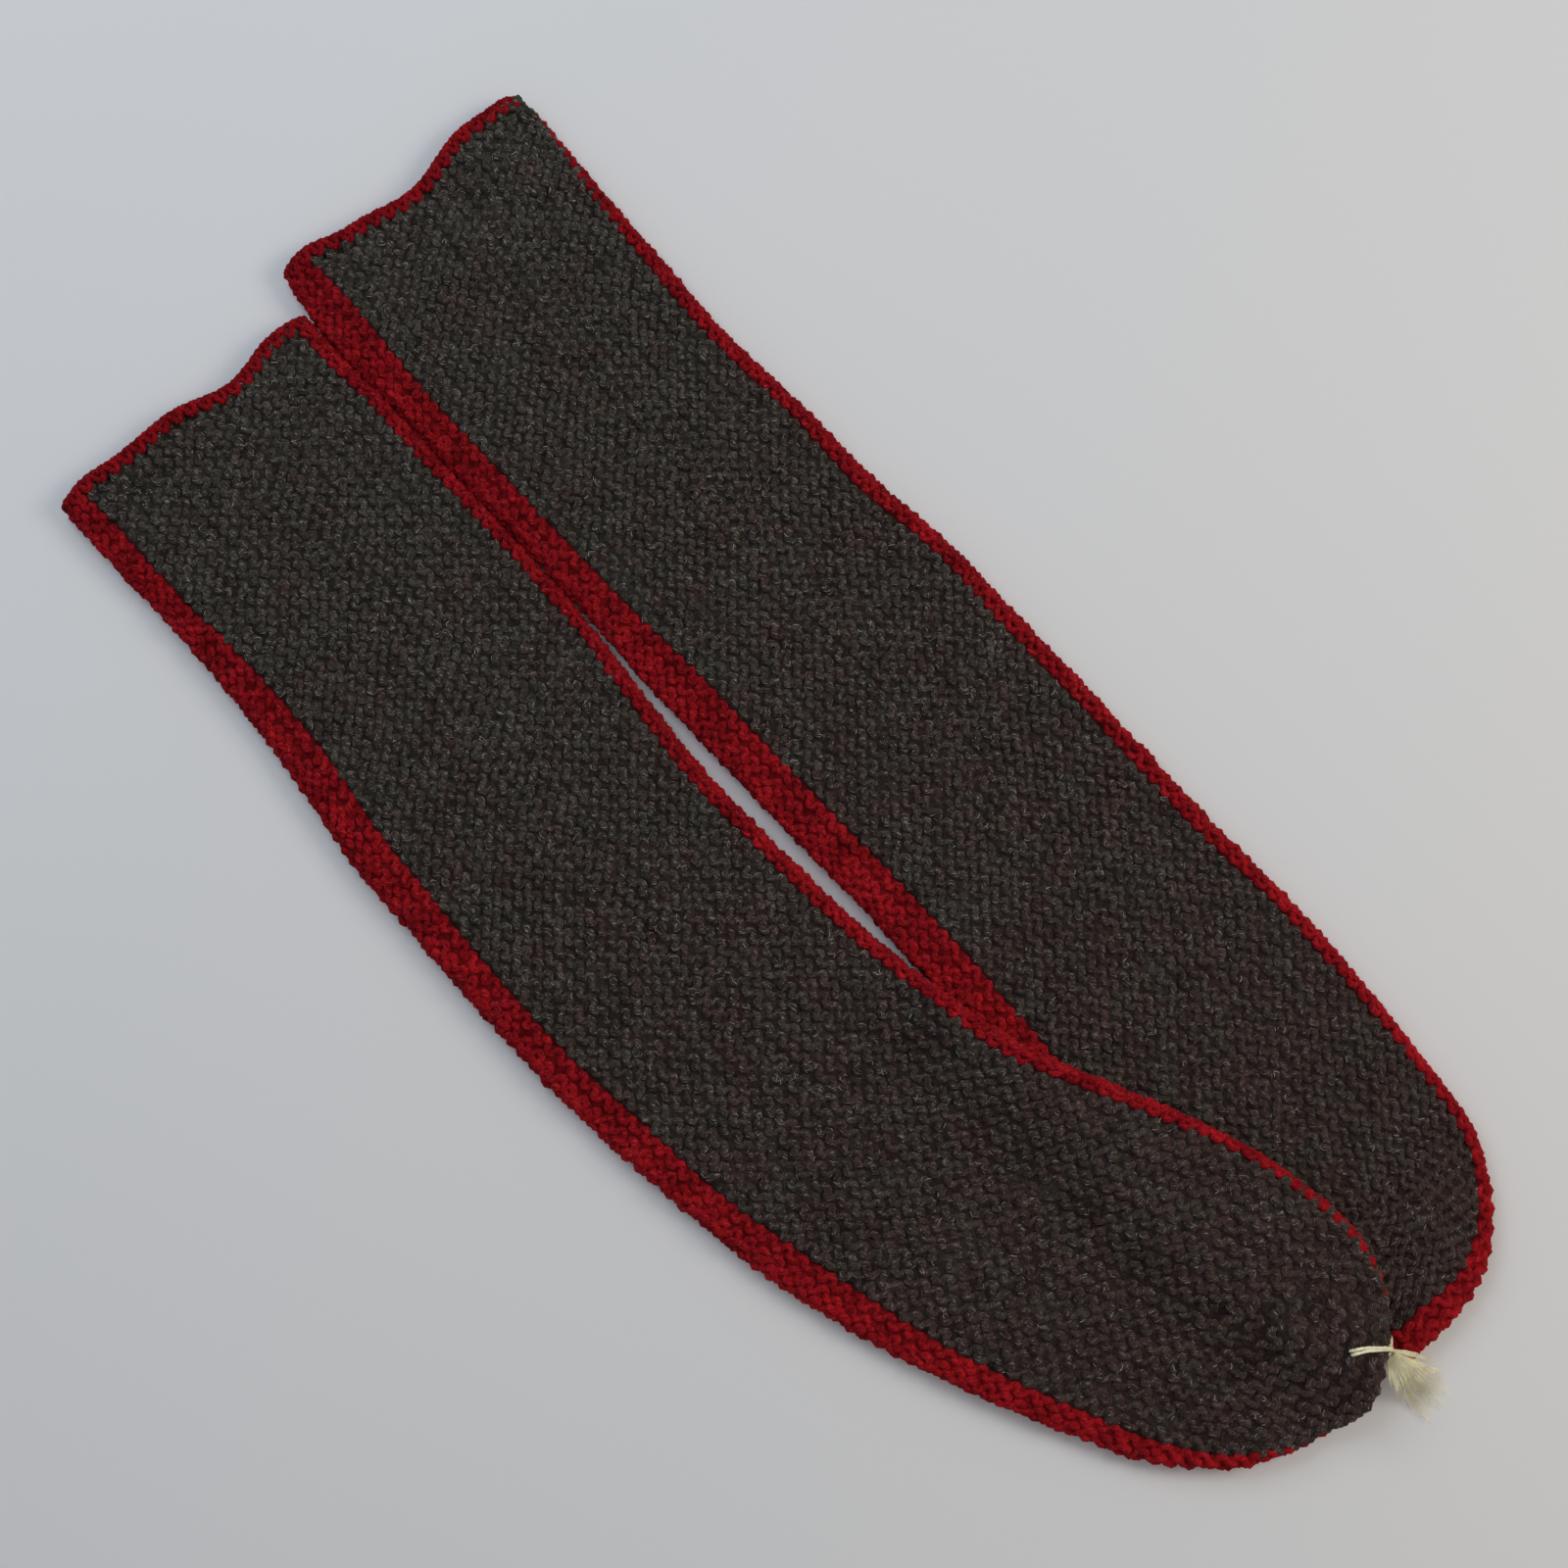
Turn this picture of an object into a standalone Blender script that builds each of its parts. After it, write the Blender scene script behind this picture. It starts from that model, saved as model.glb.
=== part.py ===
"""A pair of hand-knitted slipper socks, laid flat side by side, toes tied together.

Each sock is a flattened tube of thick garter knit: a front panel, a back panel that wraps
round both folds, and a knitted edging round the cuff. The toe of the near sock lies on the
toe of the far sock, and a short thread with a frayed tuft ties the two toes.

The socks run along +X from cuff to toe, +Y points from the near sock to the far one, and
the underside lies on Z = 0. The origin is under the middle of the pair's box.
"""

import math
from collections import namedtuple

import bmesh
import bpy
from mathutils import Vector

MM = 0.001

HEIGHT = 6.6 * MM  # a flattened sock, two walls and a little air
WALL = 2.8 * MM  # the knit, measured to the crest of a ridge
RIDGE = 0.5 * MM  # how far the knit drops between two ridges
SEAM_GAP = 0.36 * MM
CUFF_GAP = 0.6 * MM  # between a panel and the edging
FOLD = HEIGHT / 2  # radius of the folds at both sides

FRONT_ROWS = 9  # ridges on each side of the middle one
BACK_ROWS = 3  # ridges of the back beside the seam
BACK_PITCH = 4.0 * MM
TURN_ROOM = 0.6  # of a pitch, left plain between the last ridge and the underside
FLAT_STEPS = 8  # across each plain flat half of a wall
TURN_STEPS = 3  # of the back's outside, from its last ridge to the underside
LINING_STEPS = 4  # of the back's inside, round the fold

EDGING = 3.3 * MM  # length of the knitted edging at the cuff
WAVE_FADE = 42 * MM  # the wave of the cuff dies away over this length

LAP_GAP = 0.6 * MM  # between the near sock's underside and the far sock
LAP_RAMP, LAP_UP = 24 * MM, 3 * MM  # outside the far sock: where it begins to climb, is up
LAP_START, LAP_FULL = 34 * MM, 66 * MM  # along X, where it begins to climb and is up
TOE_CROWN = 1.2 * MM  # the near toe is a little fuller than the leg
CROWN_START, CROWN_FULL = 85 * MM, 165 * MM

# One row for each section of the leg and foot, from the cuff to the middle of the toe, in
# millimetres: the fold on the left, the fold on the right, and how wide the back panel
# shows beside each of them.
Section = namedtuple("Section", "left_x left_y right_x right_y left_band right_band")
NEAR_LEG = [Section(*row) for row in (
    (-216, -79, -209, 7, 8, 4.5),
    (-197, -80, -197, 6.5, 8.5, 4.5),
    (-168, -81, -171, 5.8, 8, 4.5),
    (-140, -83, -143, 4, 10, 4),
    (-112, -87, -115, 2.6, 11.5, 4),
    (-85, -92, -87, 0, 11.5, 4),
    (-58, -94, -59, -3.5, 10.5, 4.5),
    (-31, -96, -32, -6.5, 10, 5),
    (-4, -97, -5, -7.2, 10, 5),
    (22, -96.5, 22, -7.5, 10.5, 4.5),
    (48, -94.5, 48, -6, 9.5, 4),
    (73, -92, 74, -2.8, 11, 4.5),
    (99, -86, 100, 6, 10, 4),
    (124, -78.5, 125, 16.5, 8.5, 3),
    (144, -71, 144, 22, 8, 2),
    (162, -63.5, 161, 24.5, 7.5, 1.5),
)]
FAR_LEG = [Section(*row) for row in (
    (-222, 12.5, -213.5, 96.5, 8.5, 0.6),
    (-200, 8.2, -204, 97, 12.5, 0.6),
    (-171, 7.2, -174, 93.5, 10, 3.5),
    (-143, 5.6, -145, 90.5, 10, 4.5),
    (-115, 4.2, -117, 87.5, 10, 4.5),
    (-87, 2.5, -88, 87.5, 10.5, 5),
    (-59, -0.5, -60, 86, 12.5, 5.5),
    (-32, -2, -32, 87, 12.5, 5),
    (-5, -3.2, -5, 85.5, 12.5, 5.5),
    (22, -3.5, 22, 84, 12, 5.5),
    (48, -2.5, 49, 82, 9.5, 5.5),
    (74, -1, 75, 80, 6.5, 5.5),
    (100, -3, 102, 79, 5, 4.5),
    (126, -5, 128, 76.5, 5, 4),
    (151, -5.5, 152, 73, 5, 3),
    (173, -2, 175, 69, 5, 3.5),
)]

# The rows of ridges turn round the middle of the toe. One row for each section there:
# angle in degrees from +X, distance of the fold and width of the back's band, millimetres.
Fan = namedtuple("Fan", "angle radius band")
NEAR_TOE = [Fan(*row) for row in (
    (72, 42.7, 1.2),
    (58, 44.7, 1.0),
    (44, 46.3, 1.0),
    (31, 46.8, 1.0),
    (19, 48.2, 1.0),
    (10, 48.5, 1.0),
    (1, 45.8, 1.0),
    (-10, 43.3, 1.2),
    (-22, 41.8, 2),
    (-36, 41, 3.5),
    (-54, 41, 4.8),
    (-72, 43.2, 6.5),
)]
FAR_TOE = [Fan(*row) for row in (
    (76, 33.4, 3.5),
    (61, 32, 3.8),
    (44, 31.8, 4.2),
    (27, 32.5, 5.5),
    (11, 34.2, 6.5),
    (-3, 35.4, 7.5),
    (-16, 36.8, 8),
    (-27, 39.2, 9),
    (-36, 42.2, 9),
    (-46, 41, 7.5),
    (-60, 37.2, 6),
    (-75, 35.3, 5),
)]

# The cuff's edge isn't straight. Each row: place across from the left fold to the right
# one as a share of the width, and how far the edge is drawn towards the toe, millimetres.
Wave = namedtuple("Wave", "across inward")
NEAR_WAVE = [Wave(*row) for row in (
    (0, 0), (0.12, -2), (0.25, -1), (0.44, -1.2), (0.67, 3.5), (0.88, 0), (1, 1.2),
)]
FAR_WAVE = [Wave(*row) for row in (
    (0, 0.8), (0.1, -1), (0.27, 2.3), (0.5, 5.2), (0.79, -0.5), (0.93, 0), (1, 1.4),
)]

EDGE_ROUND = 0.8 * MM  # rounding of the edging's own edge, at the cuff's opening
EDGE_SOFTEN = 0.5 * MM  # the same beside the panels
EDGING_STEPS = 25  # round each half of the cuff
FLAT_SHARE = 0.36  # of those steps, on each of its flat sides

# The thread: a stitch over the near toe's rim, a knot, and a tuft. Points in millimetres.
KNOT_AT = (203.6, 9.3, 8.5)
KNOT_RADIUS = 1.5 * MM
KNOT_SIDES, KNOT_RINGS = 16, 10
STITCH_WIDTH, STITCH_TIP = 1.4 * MM, 1.0 * MM
STITCH_POINTS = (
    (204.0, 9.4, 11.2),
    (203.2, 8.6, 13.6),
    (200.8, 6.0, 15.0),
    (198.2, 3.0, 15.3),
    (195.8, 0.4, 15.0),
)
STRAND_WIDTH, STRAND_TIP = 0.8 * MM, 0.4 * MM
STRAND_STEPS = 5
STRAND_HIGH = 8.1 * MM  # over the far toe
STRAND_FALLS_AT = 209 * MM  # past the far toe's rim, along X
# One row for each strand of the tuft: heading in degrees from +X, length in millimetres,
# and the height of its tip above the floor.
Strand = namedtuple("Strand", "heading length tip_height")
STRANDS = [Strand(*row) for row in (
    (-32, 16.0, 0.9),
    (-24, 17.2, 0.8),
    (-16, 16.4, 1.6),
    (-9, 16.9, 0.8),
    (-3, 15.8, 1.9),
    (4, 16.4, 0.9),
    (11, 15.2, 1.4),
    (20, 12.6, 2.2),
)]

SHARP_ANGLE = 50  # degrees, above which an edge stays sharp
MERGE_DISTANCE = 0.005 * MM

GREY = (0.030, 0.024, 0.021, 1)
RED = (0.135, 0.006, 0.010, 1)
CREAM = (0.62, 0.56, 0.38, 1)


def ease(value, low, high):
    """0 at low, 1 at high, with a soft start and end."""
    share = min(max((value - low) / (high - low), 0), 1)
    return share * share * (3 - 2 * share)


def in_wave(wave, across):
    """How far the cuff's edge is drawn inward, at a share of the sock's width."""
    for here, there in zip(wave, wave[1:]):
        if across <= there.across:
            share = ease(across, here.across, there.across)
            return here.inward + (there.inward - here.inward) * share
    return wave[-1].inward


class Half:
    """One half section: from the sock's middle line out to a fold and back underneath."""

    def __init__(self, middle, fold, band, from_cuff):
        self.middle = middle
        self.reach = (fold - middle).length
        self.outward = (fold - middle).normalized()
        self.seam = self.reach - band if band >= FOLD else self.on_fold(band)
        self.under = self.reach - FOLD + math.pi * FOLD  # where the flat underside begins
        self.girth = self.under + self.reach - FOLD
        self.from_cuff = from_cuff

    def on_fold(self, band):
        """Length along the skin to a point of the fold that lies this far inside the rim."""
        turned = math.asin(1 - band / FOLD)
        return self.reach - FOLD + turned * FOLD

    def point(self, along, depth):
        """Plan point, height and share of the reach, for a skin length and a depth below it."""
        flat = self.reach - FOLD
        if along <= flat:
            out, high = along, HEIGHT - depth
        elif along >= self.under:
            out, high = flat - (along - self.under), depth
        else:
            turned = (along - flat) / FOLD
            out = flat + (FOLD - depth) * math.sin(turned)
            high = FOLD + (FOLD - depth) * math.cos(turned)
        return self.middle + self.outward * out, high, out / self.reach


class Sock:
    """Sections of one sock, and the rules that bend its flat form."""

    def __init__(self, leg, toe, wave, outline_below=None):
        self.leg, self.toe, self.wave = leg, toe, wave
        self.below = outline_below
        self.crown = TOE_CROWN if outline_below else 0

    def folds(self, number, from_edge=0):
        """Plan points of the left and the right fold of a section, or this far past it."""
        row = self.leg[number]
        left = Vector((row.left_x, row.left_y)) * MM
        right = Vector((row.right_x, row.right_y)) * MM
        if from_edge:
            next_left, next_right = self.folds(number + 1)
            left += (next_left - left).normalized() * from_edge
            right += (next_right - right).normalized() * from_edge
        return left, right

    def pair(self, number, from_edge=0):
        """The right and the left half of a section, or of one this far from the cuff's edge."""
        row = self.leg[number]
        left, right = self.folds(number, from_edge)
        shift = (row.left_band - row.right_band) * MM / 2
        middle = (left + right) / 2 + (right - left).normalized() * shift
        from_cuff = (left - self.folds(0)[0]).length
        return (
            Half(middle, right, row.right_band * MM, from_cuff),
            Half(middle, left, row.left_band * MM, from_cuff),
        )

    def halves(self, from_edge):
        """All half sections: up the right side, round the toe and back down the left."""
        pairs = [self.pair(0, from_edge)] + [self.pair(row) for row in range(1, len(self.leg))]
        middle = pairs[-1][0].middle
        fan = []
        for row in self.toe:
            angle = math.radians(row.angle)
            rim = middle + Vector((math.cos(angle), math.sin(angle))) * row.radius * MM
            fan.append(Half(middle, rim, row.band * MM, math.inf))
        return [pair[0] for pair in pairs] + fan + [pair[1] for pair in reversed(pairs)]

    def outline(self):
        """The sock's plan outline, from the right of the cuff round the toe to the left."""
        return [half.middle + half.outward * half.reach for half in self.halves(0)]

    def place(self, half, along, depth):
        """A point of the finished sock."""
        (x, y), high, share = half.point(along, depth)
        if along < half.reach:
            high += self.crown * ease(x, CROWN_START, CROWN_FULL) * (1 - share * share)
        if half.from_cuff < WAVE_FADE:
            left, right = self.folds(0)
            across = min(max((y - left.y) / (right.y - left.y), 0), 1)
            x += in_wave(self.wave, across) * MM * (1 - ease(half.from_cuff, 0, WAVE_FADE))
        if self.below:
            high += self.lift(x, y)
        return Vector((x, y, high))

    def lift(self, x, y):
        """How far the near sock is raised by the far one that it laps."""
        inside = depth_inside(Vector((x, y)), self.below)
        climb = ease(inside, -LAP_RAMP, -LAP_UP) * ease(x, LAP_START, LAP_FULL)
        return (HEIGHT + LAP_GAP) * climb


def depth_inside(point, outline):
    """Distance from a point to the outline's edge: positive inside it, negative outside."""
    nearest, inside = math.inf, False
    for start, end in zip(outline, outline[1:] + outline[:1]):
        edge = end - start
        share = min(max((point - start).dot(edge) / edge.length_squared, 0), 1)
        nearest = min(nearest, (point - start - edge * share).length)
        if (start.y > point.y) != (end.y > point.y):
            crossing = start.x + (point.y - start.y) / (end.y - start.y) * edge.x
            inside ^= point.x < crossing
    return nearest if inside else -nearest


def spread(start, end, steps):
    """Evenly spaced values from start to end, both of them included."""
    return [start + (end - start) * step / steps for step in range(steps + 1)]


def front_wall(half):
    """The front panel's wall, as skin lengths and depths from the middle line to the seam."""
    seam = half.seam - SEAM_GAP / 2
    pitch = seam / (FRONT_ROWS + 0.5)
    outer = []
    for row in range(FRONT_ROWS + 1):
        outer += [(row * pitch, 0), ((row + 0.5) * pitch, RIDGE)]
    lining_end = min(seam, half.reach - FOLD - SEAM_GAP)
    return outer, [(along, WALL) for along in spread(0, lining_end, FLAT_STEPS)]


def back_wall(half):
    """The back panel's wall, from the middle line underneath round the fold to the seam."""
    seam = half.seam + SEAM_GAP / 2
    pitch = min(BACK_PITCH, (half.under - seam) / (BACK_ROWS + TURN_ROOM))
    outer = [(seam, RIDGE)]
    for row in range(BACK_ROWS):
        outer += [(seam + (row + 0.5) * pitch, 0), (seam + (row + 1) * pitch, RIDGE)]
    plain = spread(outer[-1][0], half.under, TURN_STEPS)[1:]
    plain += spread(half.under, half.girth, FLAT_STEPS)[1:]
    outer += [(along, 0) for along in plain]
    top = half.reach - FOLD
    if top > seam + SEAM_GAP:
        inner = spread(seam, top, 2) + spread(top, half.under, LINING_STEPS)[1:]
    else:
        inner = spread(max(seam, top), half.under, LINING_STEPS + 2)
    inner += spread(half.under, half.girth, FLAT_STEPS)[1:]
    return outer[::-1], [(along, WALL) for along in inner[::-1]]


def finish_mesh(name, mesh, material):
    """An object with a closed, outward-facing mesh from bmesh data."""
    bmesh.ops.remove_doubles(mesh, verts=mesh.verts, dist=MERGE_DISTANCE)
    bmesh.ops.recalc_face_normals(mesh, faces=mesh.faces)
    data = bpy.data.meshes.new(name)
    mesh.to_mesh(data)
    mesh.free()
    data.materials.append(material)
    piece = bpy.data.objects.new(name, data)
    collection.objects.link(piece)
    for polygon in data.polygons:
        polygon.use_smooth = True
    data.set_sharp_from_angle(angle=math.radians(SHARP_ANGLE))
    return piece


def join_rows(mesh, rows, closed):
    """Quads between neighbouring rows of corners."""
    for here, there in zip(rows, rows[1:] + (rows[:1] if closed else [])):
        corners = list(zip(here, here[1:], there[1:], there))
        if closed:
            corners.append((here[-1], here[0], there[0], there[-1]))
        for corner in corners:
            mesh.faces.new(corner)


def close_end(mesh, row, outer, inner):
    """Triangles across the wall's thickness, so that the end follows the cuff's wave."""
    skin, lining = row[:len(outer)], row[len(outer):][::-1]
    low, high = 0, 0
    while low + high < len(skin) + len(lining) - 2:
        if from_middle(outer, low + 1) <= from_middle(inner, high + 1):
            mesh.faces.new((skin[low], skin[low + 1], lining[high]))
            low += 1
        else:
            mesh.faces.new((skin[low], lining[high + 1], lining[high]))
            high += 1


def from_middle(steps, index):
    """Skin length between the middle line and a step of the wall's path."""
    return abs(steps[index][0] - steps[0][0]) if index < len(steps) else math.inf


def make_panel(name, sock, wall, material):
    """One wall of the sock, lofted along all its half sections."""
    mesh = bmesh.new()
    rows = []
    halves = sock.halves(EDGING + CUFF_GAP)
    for half in halves:
        outer, inner = wall(half)
        rows.append([mesh.verts.new(sock.place(half, *step)) for step in outer + inner[::-1]])
    join_rows(mesh, rows, closed=False)
    for end in (0, -1):
        close_end(mesh, rows[end], *wall(halves[end]))
    return finish_mesh(name, mesh, material)


def edging_points():
    """The edging's outline across the wall: length from the cuff's edge and depth."""
    start, end = EDGE_ROUND, EDGING - EDGE_SOFTEN
    return [
        (start, 0), (end, 0), (EDGING, EDGE_SOFTEN), (EDGING, WALL - EDGE_SOFTEN),
        (end, WALL), (start, WALL), (0, WALL - EDGE_ROUND), (0, EDGE_ROUND),
    ]


def make_edging(name, sock, material):
    """The knitted edging: a small rounded ring right round the cuff."""
    shares = spread(0, 1, EDGING_STEPS)
    stops = [(0, share) for share in shares] + [(1, share) for share in shares[-2:0:-1]]
    mesh = bmesh.new()
    rows = []
    for side, share in stops:
        row = []
        for along, depth in edging_points():
            half = sock.pair(0, along)[side]
            row.append(mesh.verts.new(sock.place(half, ring_length(half, share), depth)))
        rows.append(row)
    join_rows(mesh, rows, closed=True)
    return finish_mesh(name, mesh, material)


def ring_length(half, share):
    """Skin length for a share of the half ring, with more points on the fold."""
    flat = half.reach - FOLD
    if share <= FLAT_SHARE:
        return flat * share / FLAT_SHARE
    if share >= 1 - FLAT_SHARE:
        return half.girth - flat * (1 - share) / FLAT_SHARE
    return flat + (half.under - flat) * (share - FLAT_SHARE) / (1 - 2 * FLAT_SHARE)


def make_tie(name, material):
    """A knot with a stitch and a tuft of strands drawn out of its faces."""
    mesh = bmesh.new()
    bmesh.ops.create_uvsphere(mesh, u_segments=KNOT_SIDES, v_segments=KNOT_RINGS, radius=KNOT_RADIUS)
    knot = Vector(KNOT_AT) * MM
    bmesh.ops.translate(mesh, verts=mesh.verts, vec=knot)
    faces = [face for face in mesh.faces if len(face.verts) == 4]
    draw_out(mesh, faces, knot, [Vector(point) * MM for point in STITCH_POINTS], STITCH_WIDTH, STITCH_TIP)
    for strand in STRANDS:
        draw_out(mesh, faces, knot, strand_path(knot, strand), STRAND_WIDTH, STRAND_TIP)
    return finish_mesh(name, mesh, material)


def strand_path(knot, strand):
    """A strand's points: out over the far toe's rim, then down to its tip."""
    heading = math.radians(strand.heading)
    toward = Vector((math.cos(heading), math.sin(heading)))
    tip = knot.xy + toward * (KNOT_RADIUS + strand.length * MM)
    points = []
    for share in spread(0, 1, STRAND_STEPS)[1:]:
        plan = knot.xy + toward * (KNOT_RADIUS + strand.length * MM * share)
        fall = ease(plan.x, STRAND_FALLS_AT, tip.x)
        points.append(plan.to_3d())
        points[-1].z = STRAND_HIGH + (strand.tip_height * MM - STRAND_HIGH) * fall
    return points


def draw_out(mesh, free_faces, knot, points, width, tip_width):
    """Draws the free face of the knot that looks most towards the first point out to them."""
    toward = (points[0] - knot).normalized()
    face = max(free_faces, key=lambda one: (one.calc_center_median() - knot).normalized().dot(toward))
    free_faces.remove(face)
    corners = [vert.co - face.calc_center_median() for vert in face.verts]
    size = sum(corner.length for corner in corners) / len(corners)
    before = knot
    for index, point in enumerate(points):
        face = bmesh.ops.extrude_discrete_faces(mesh, faces=[face])["faces"][0]
        wide = width + (tip_width - width) * index / (len(points) - 1)
        after = points[min(index + 1, len(points) - 1)]
        turn = toward.rotation_difference((after - before).normalized())
        for vert, corner in zip(face.verts, corners):
            vert.co = point + turn @ corner * (wide * math.sqrt(0.5) / size)
        before = point


def make_material(name, colour, roughness):
    material = bpy.data.materials.new(name)
    material.use_nodes = True
    shader = material.node_tree.nodes["Principled BSDF"]
    shader.inputs["Base Color"].default_value = colour
    shader.inputs["Roughness"].default_value = roughness
    shader.inputs["Metallic"].default_value = 0
    return material


for leftover in list(bpy.data.objects):
    bpy.data.objects.remove(leftover, do_unlink=True)
collection = bpy.data.collections.new("pair_of_slipper_socks")
bpy.context.scene.collection.children.link(collection)

grey_wool = make_material("grey_brown_wool", GREY, 0.95)
red_wool = make_material("red_wool", RED, 0.92)
cream_thread = make_material("cream_cotton_thread", CREAM, 0.85)

far_sock = Sock(FAR_LEG, FAR_TOE, FAR_WAVE)
near_sock = Sock(NEAR_LEG, NEAR_TOE, NEAR_WAVE, outline_below=far_sock.outline())
for side_name, one_sock in (("far", far_sock), ("near", near_sock)):
    make_panel(f"{side_name}_sock_front", one_sock, front_wall, grey_wool)
    make_panel(f"{side_name}_sock_back", one_sock, back_wall, red_wool)
    make_edging(f"{side_name}_sock_cuff_edging", one_sock, red_wool)
make_tie("toe_tie", cream_thread)
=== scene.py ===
import math
import random

import bmesh
import bpy
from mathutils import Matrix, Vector


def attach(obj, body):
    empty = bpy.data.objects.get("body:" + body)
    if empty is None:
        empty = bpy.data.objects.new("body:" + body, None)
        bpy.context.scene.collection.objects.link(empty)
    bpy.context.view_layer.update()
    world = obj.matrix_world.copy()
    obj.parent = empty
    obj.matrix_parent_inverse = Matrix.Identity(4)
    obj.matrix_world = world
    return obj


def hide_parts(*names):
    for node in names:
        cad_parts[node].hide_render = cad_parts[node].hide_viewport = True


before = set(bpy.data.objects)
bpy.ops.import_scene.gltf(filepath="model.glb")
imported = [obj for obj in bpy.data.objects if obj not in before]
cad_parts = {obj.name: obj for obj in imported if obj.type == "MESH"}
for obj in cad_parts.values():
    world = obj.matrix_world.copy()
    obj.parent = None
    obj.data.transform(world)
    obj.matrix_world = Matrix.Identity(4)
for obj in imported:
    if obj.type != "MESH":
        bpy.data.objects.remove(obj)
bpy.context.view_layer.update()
mm = 0.001
print("frame loaded:", ", ".join(sorted(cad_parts)))


# Camera, floor and light

view = {
    "aim": (-16.5 * mm, 6.3 * mm, 0),
    "distance": 560 * mm,
    "azimuth": 44.1,  # degrees, 0 looks along +Y
    "elevation": 81,
    "frameWidth": 432 * mm,  # what the picture spans at the aim point
    "sensor": 36,  # millimetres, as Blender counts it
    "clip": 10 * mm,
}


def addCamera():
    around, up = math.radians(view["azimuth"]), math.radians(view["elevation"])
    level = math.cos(up)
    back = Vector((math.sin(around) * level, -math.cos(around) * level, math.sin(up)))
    data = bpy.data.cameras.new("photoCamera")
    data.sensor_width = view["sensor"]
    data.lens = view["sensor"] * view["distance"] / view["frameWidth"]
    data.clip_start = view["clip"]
    camera = bpy.data.objects.new("photoCamera", data)
    camera.location = Vector(view["aim"]) + back * view["distance"]
    camera.rotation_euler = back.to_track_quat("Z", "Y").to_euler()
    bpy.context.scene.collection.objects.link(camera)
    bpy.context.scene.camera = camera


studio = {
    "floorSize": 6.0,
    "floorDrop": 0.3 * mm,  # the floor lies this far under the socks
    "floorColour": (0.80, 0.80, 0.81, 1),
    "floorRoughness": 0.9,
    "worldColour": (0.27, 0.29, 0.32, 1),
    "worldStrength": 1.0,
    # place, size, power in watts and colour of each soft box
    "softBoxes": (
        ("windowLight", (0.5, 0.7, 0.7), 0.5, 3.95, (1.0, 0.89, 0.75)),
        ("roomLight", (-0.8, 0.1, 0.8), 0.7, 4.2, (0.82, 0.92, 1.0)),
        ("warmLight", (1.0, 0.1, 0.8), 0.7, 0.74, (1.0, 0.58, 0.0)),
    ),
}


def addStudio():
    scene = bpy.context.scene
    world = bpy.data.worlds.new("softRoom")
    world.use_nodes = True
    background = world.node_tree.nodes["Background"]
    background.inputs["Color"].default_value = studio["worldColour"]
    background.inputs["Strength"].default_value = studio["worldStrength"]
    scene.world = world
    scene.view_settings.view_transform = "Standard"
    for name, place, size, power, colour in studio["softBoxes"]:
        data = bpy.data.lights.new(name, "AREA")
        data.size, data.energy, data.color = size, power, colour
        lamp = bpy.data.objects.new(name, data)
        lamp.location = place
        lamp.rotation_euler = Vector(place).to_track_quat("Z", "Y").to_euler()
        scene.collection.objects.link(lamp)
    bpy.ops.mesh.primitive_plane_add(size=studio["floorSize"], location=(0, 0, -studio["floorDrop"]))
    floor = bpy.context.object
    floor.name = "paleFloor"
    paint = bpy.data.materials.new("paleFloorPaint")
    paint.use_nodes = True
    shader = paint.node_tree.nodes["Principled BSDF"]
    shader.inputs["Base Color"].default_value = studio["floorColour"]
    shader.inputs["Roughness"].default_value = studio["floorRoughness"]
    floor.data.materials.append(paint)


addCamera()
addStudio()
print("camera and studio set")


# The socks' flat form: sections from cuff to toe, then sections round the middle of the toe

form = {
    "height": 6.6 * mm,  # both walls, laid flat
    "wall": 2.8 * mm,
    "seamGap": 0.12 * mm,
    "edging": 3.3 * mm,
    "cuffGap": 0.6 * mm,
    "waveFade": 42 * mm,  # the cuff's waves die away over this length
    "lapGap": 0.6 * mm,
    "lapRamp": (-24 * mm, -3 * mm),  # outside the far sock: starts to climb, is up
    "lapAlong": (34 * mm, 66 * mm),  # the same along X
    "toeCrown": 1.2 * mm,
    "crownAlong": (85 * mm, 165 * mm),
    "legParts": 4,  # finer sections in each one of the tables
    "toeParts": 3,
    "toFold": 6,  # crown and troughs end at the folds: the crown softly, the troughs by this power
}

# left fold x, y, right fold x, y, the back's band beside each, in millimetres
nearLeg = (
    (-216, -79, -209, 8.1, 8, 4.5),
    (-197, -80, -197, 7.4, 8.5, 4.5),
    (-168, -81, -171, 6.65, 8, 4.5),
    (-140, -83, -143, 4.85, 10, 4),
    (-112, -87, -115, 3.45, 11.5, 4),
    (-85, -92, -87, 0.95, 11.5, 4),
    (-58, -94, -59, -3.3, 10.5, 4.5),
    (-31, -96, -32, -6.5, 10, 5),
    (-4, -97, -5, -7.2, 10, 5),
    (22, -96.5, 22, -7.4, 10.5, 4.5),
    (48, -94.5, 48, -5.6, 9.5, 4.2),
    (73, -92, 74, -2.2, 11, 4.6),
    (99, -86, 100, 7.2, 10, 4.8),
    (124, -78.5, 125, 16.5, 8.5, 3),
    (144, -71, 144, 22, 8, 2),
    (162, -63.5, 161, 24.5, 7.5, 1.5),
)
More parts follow.
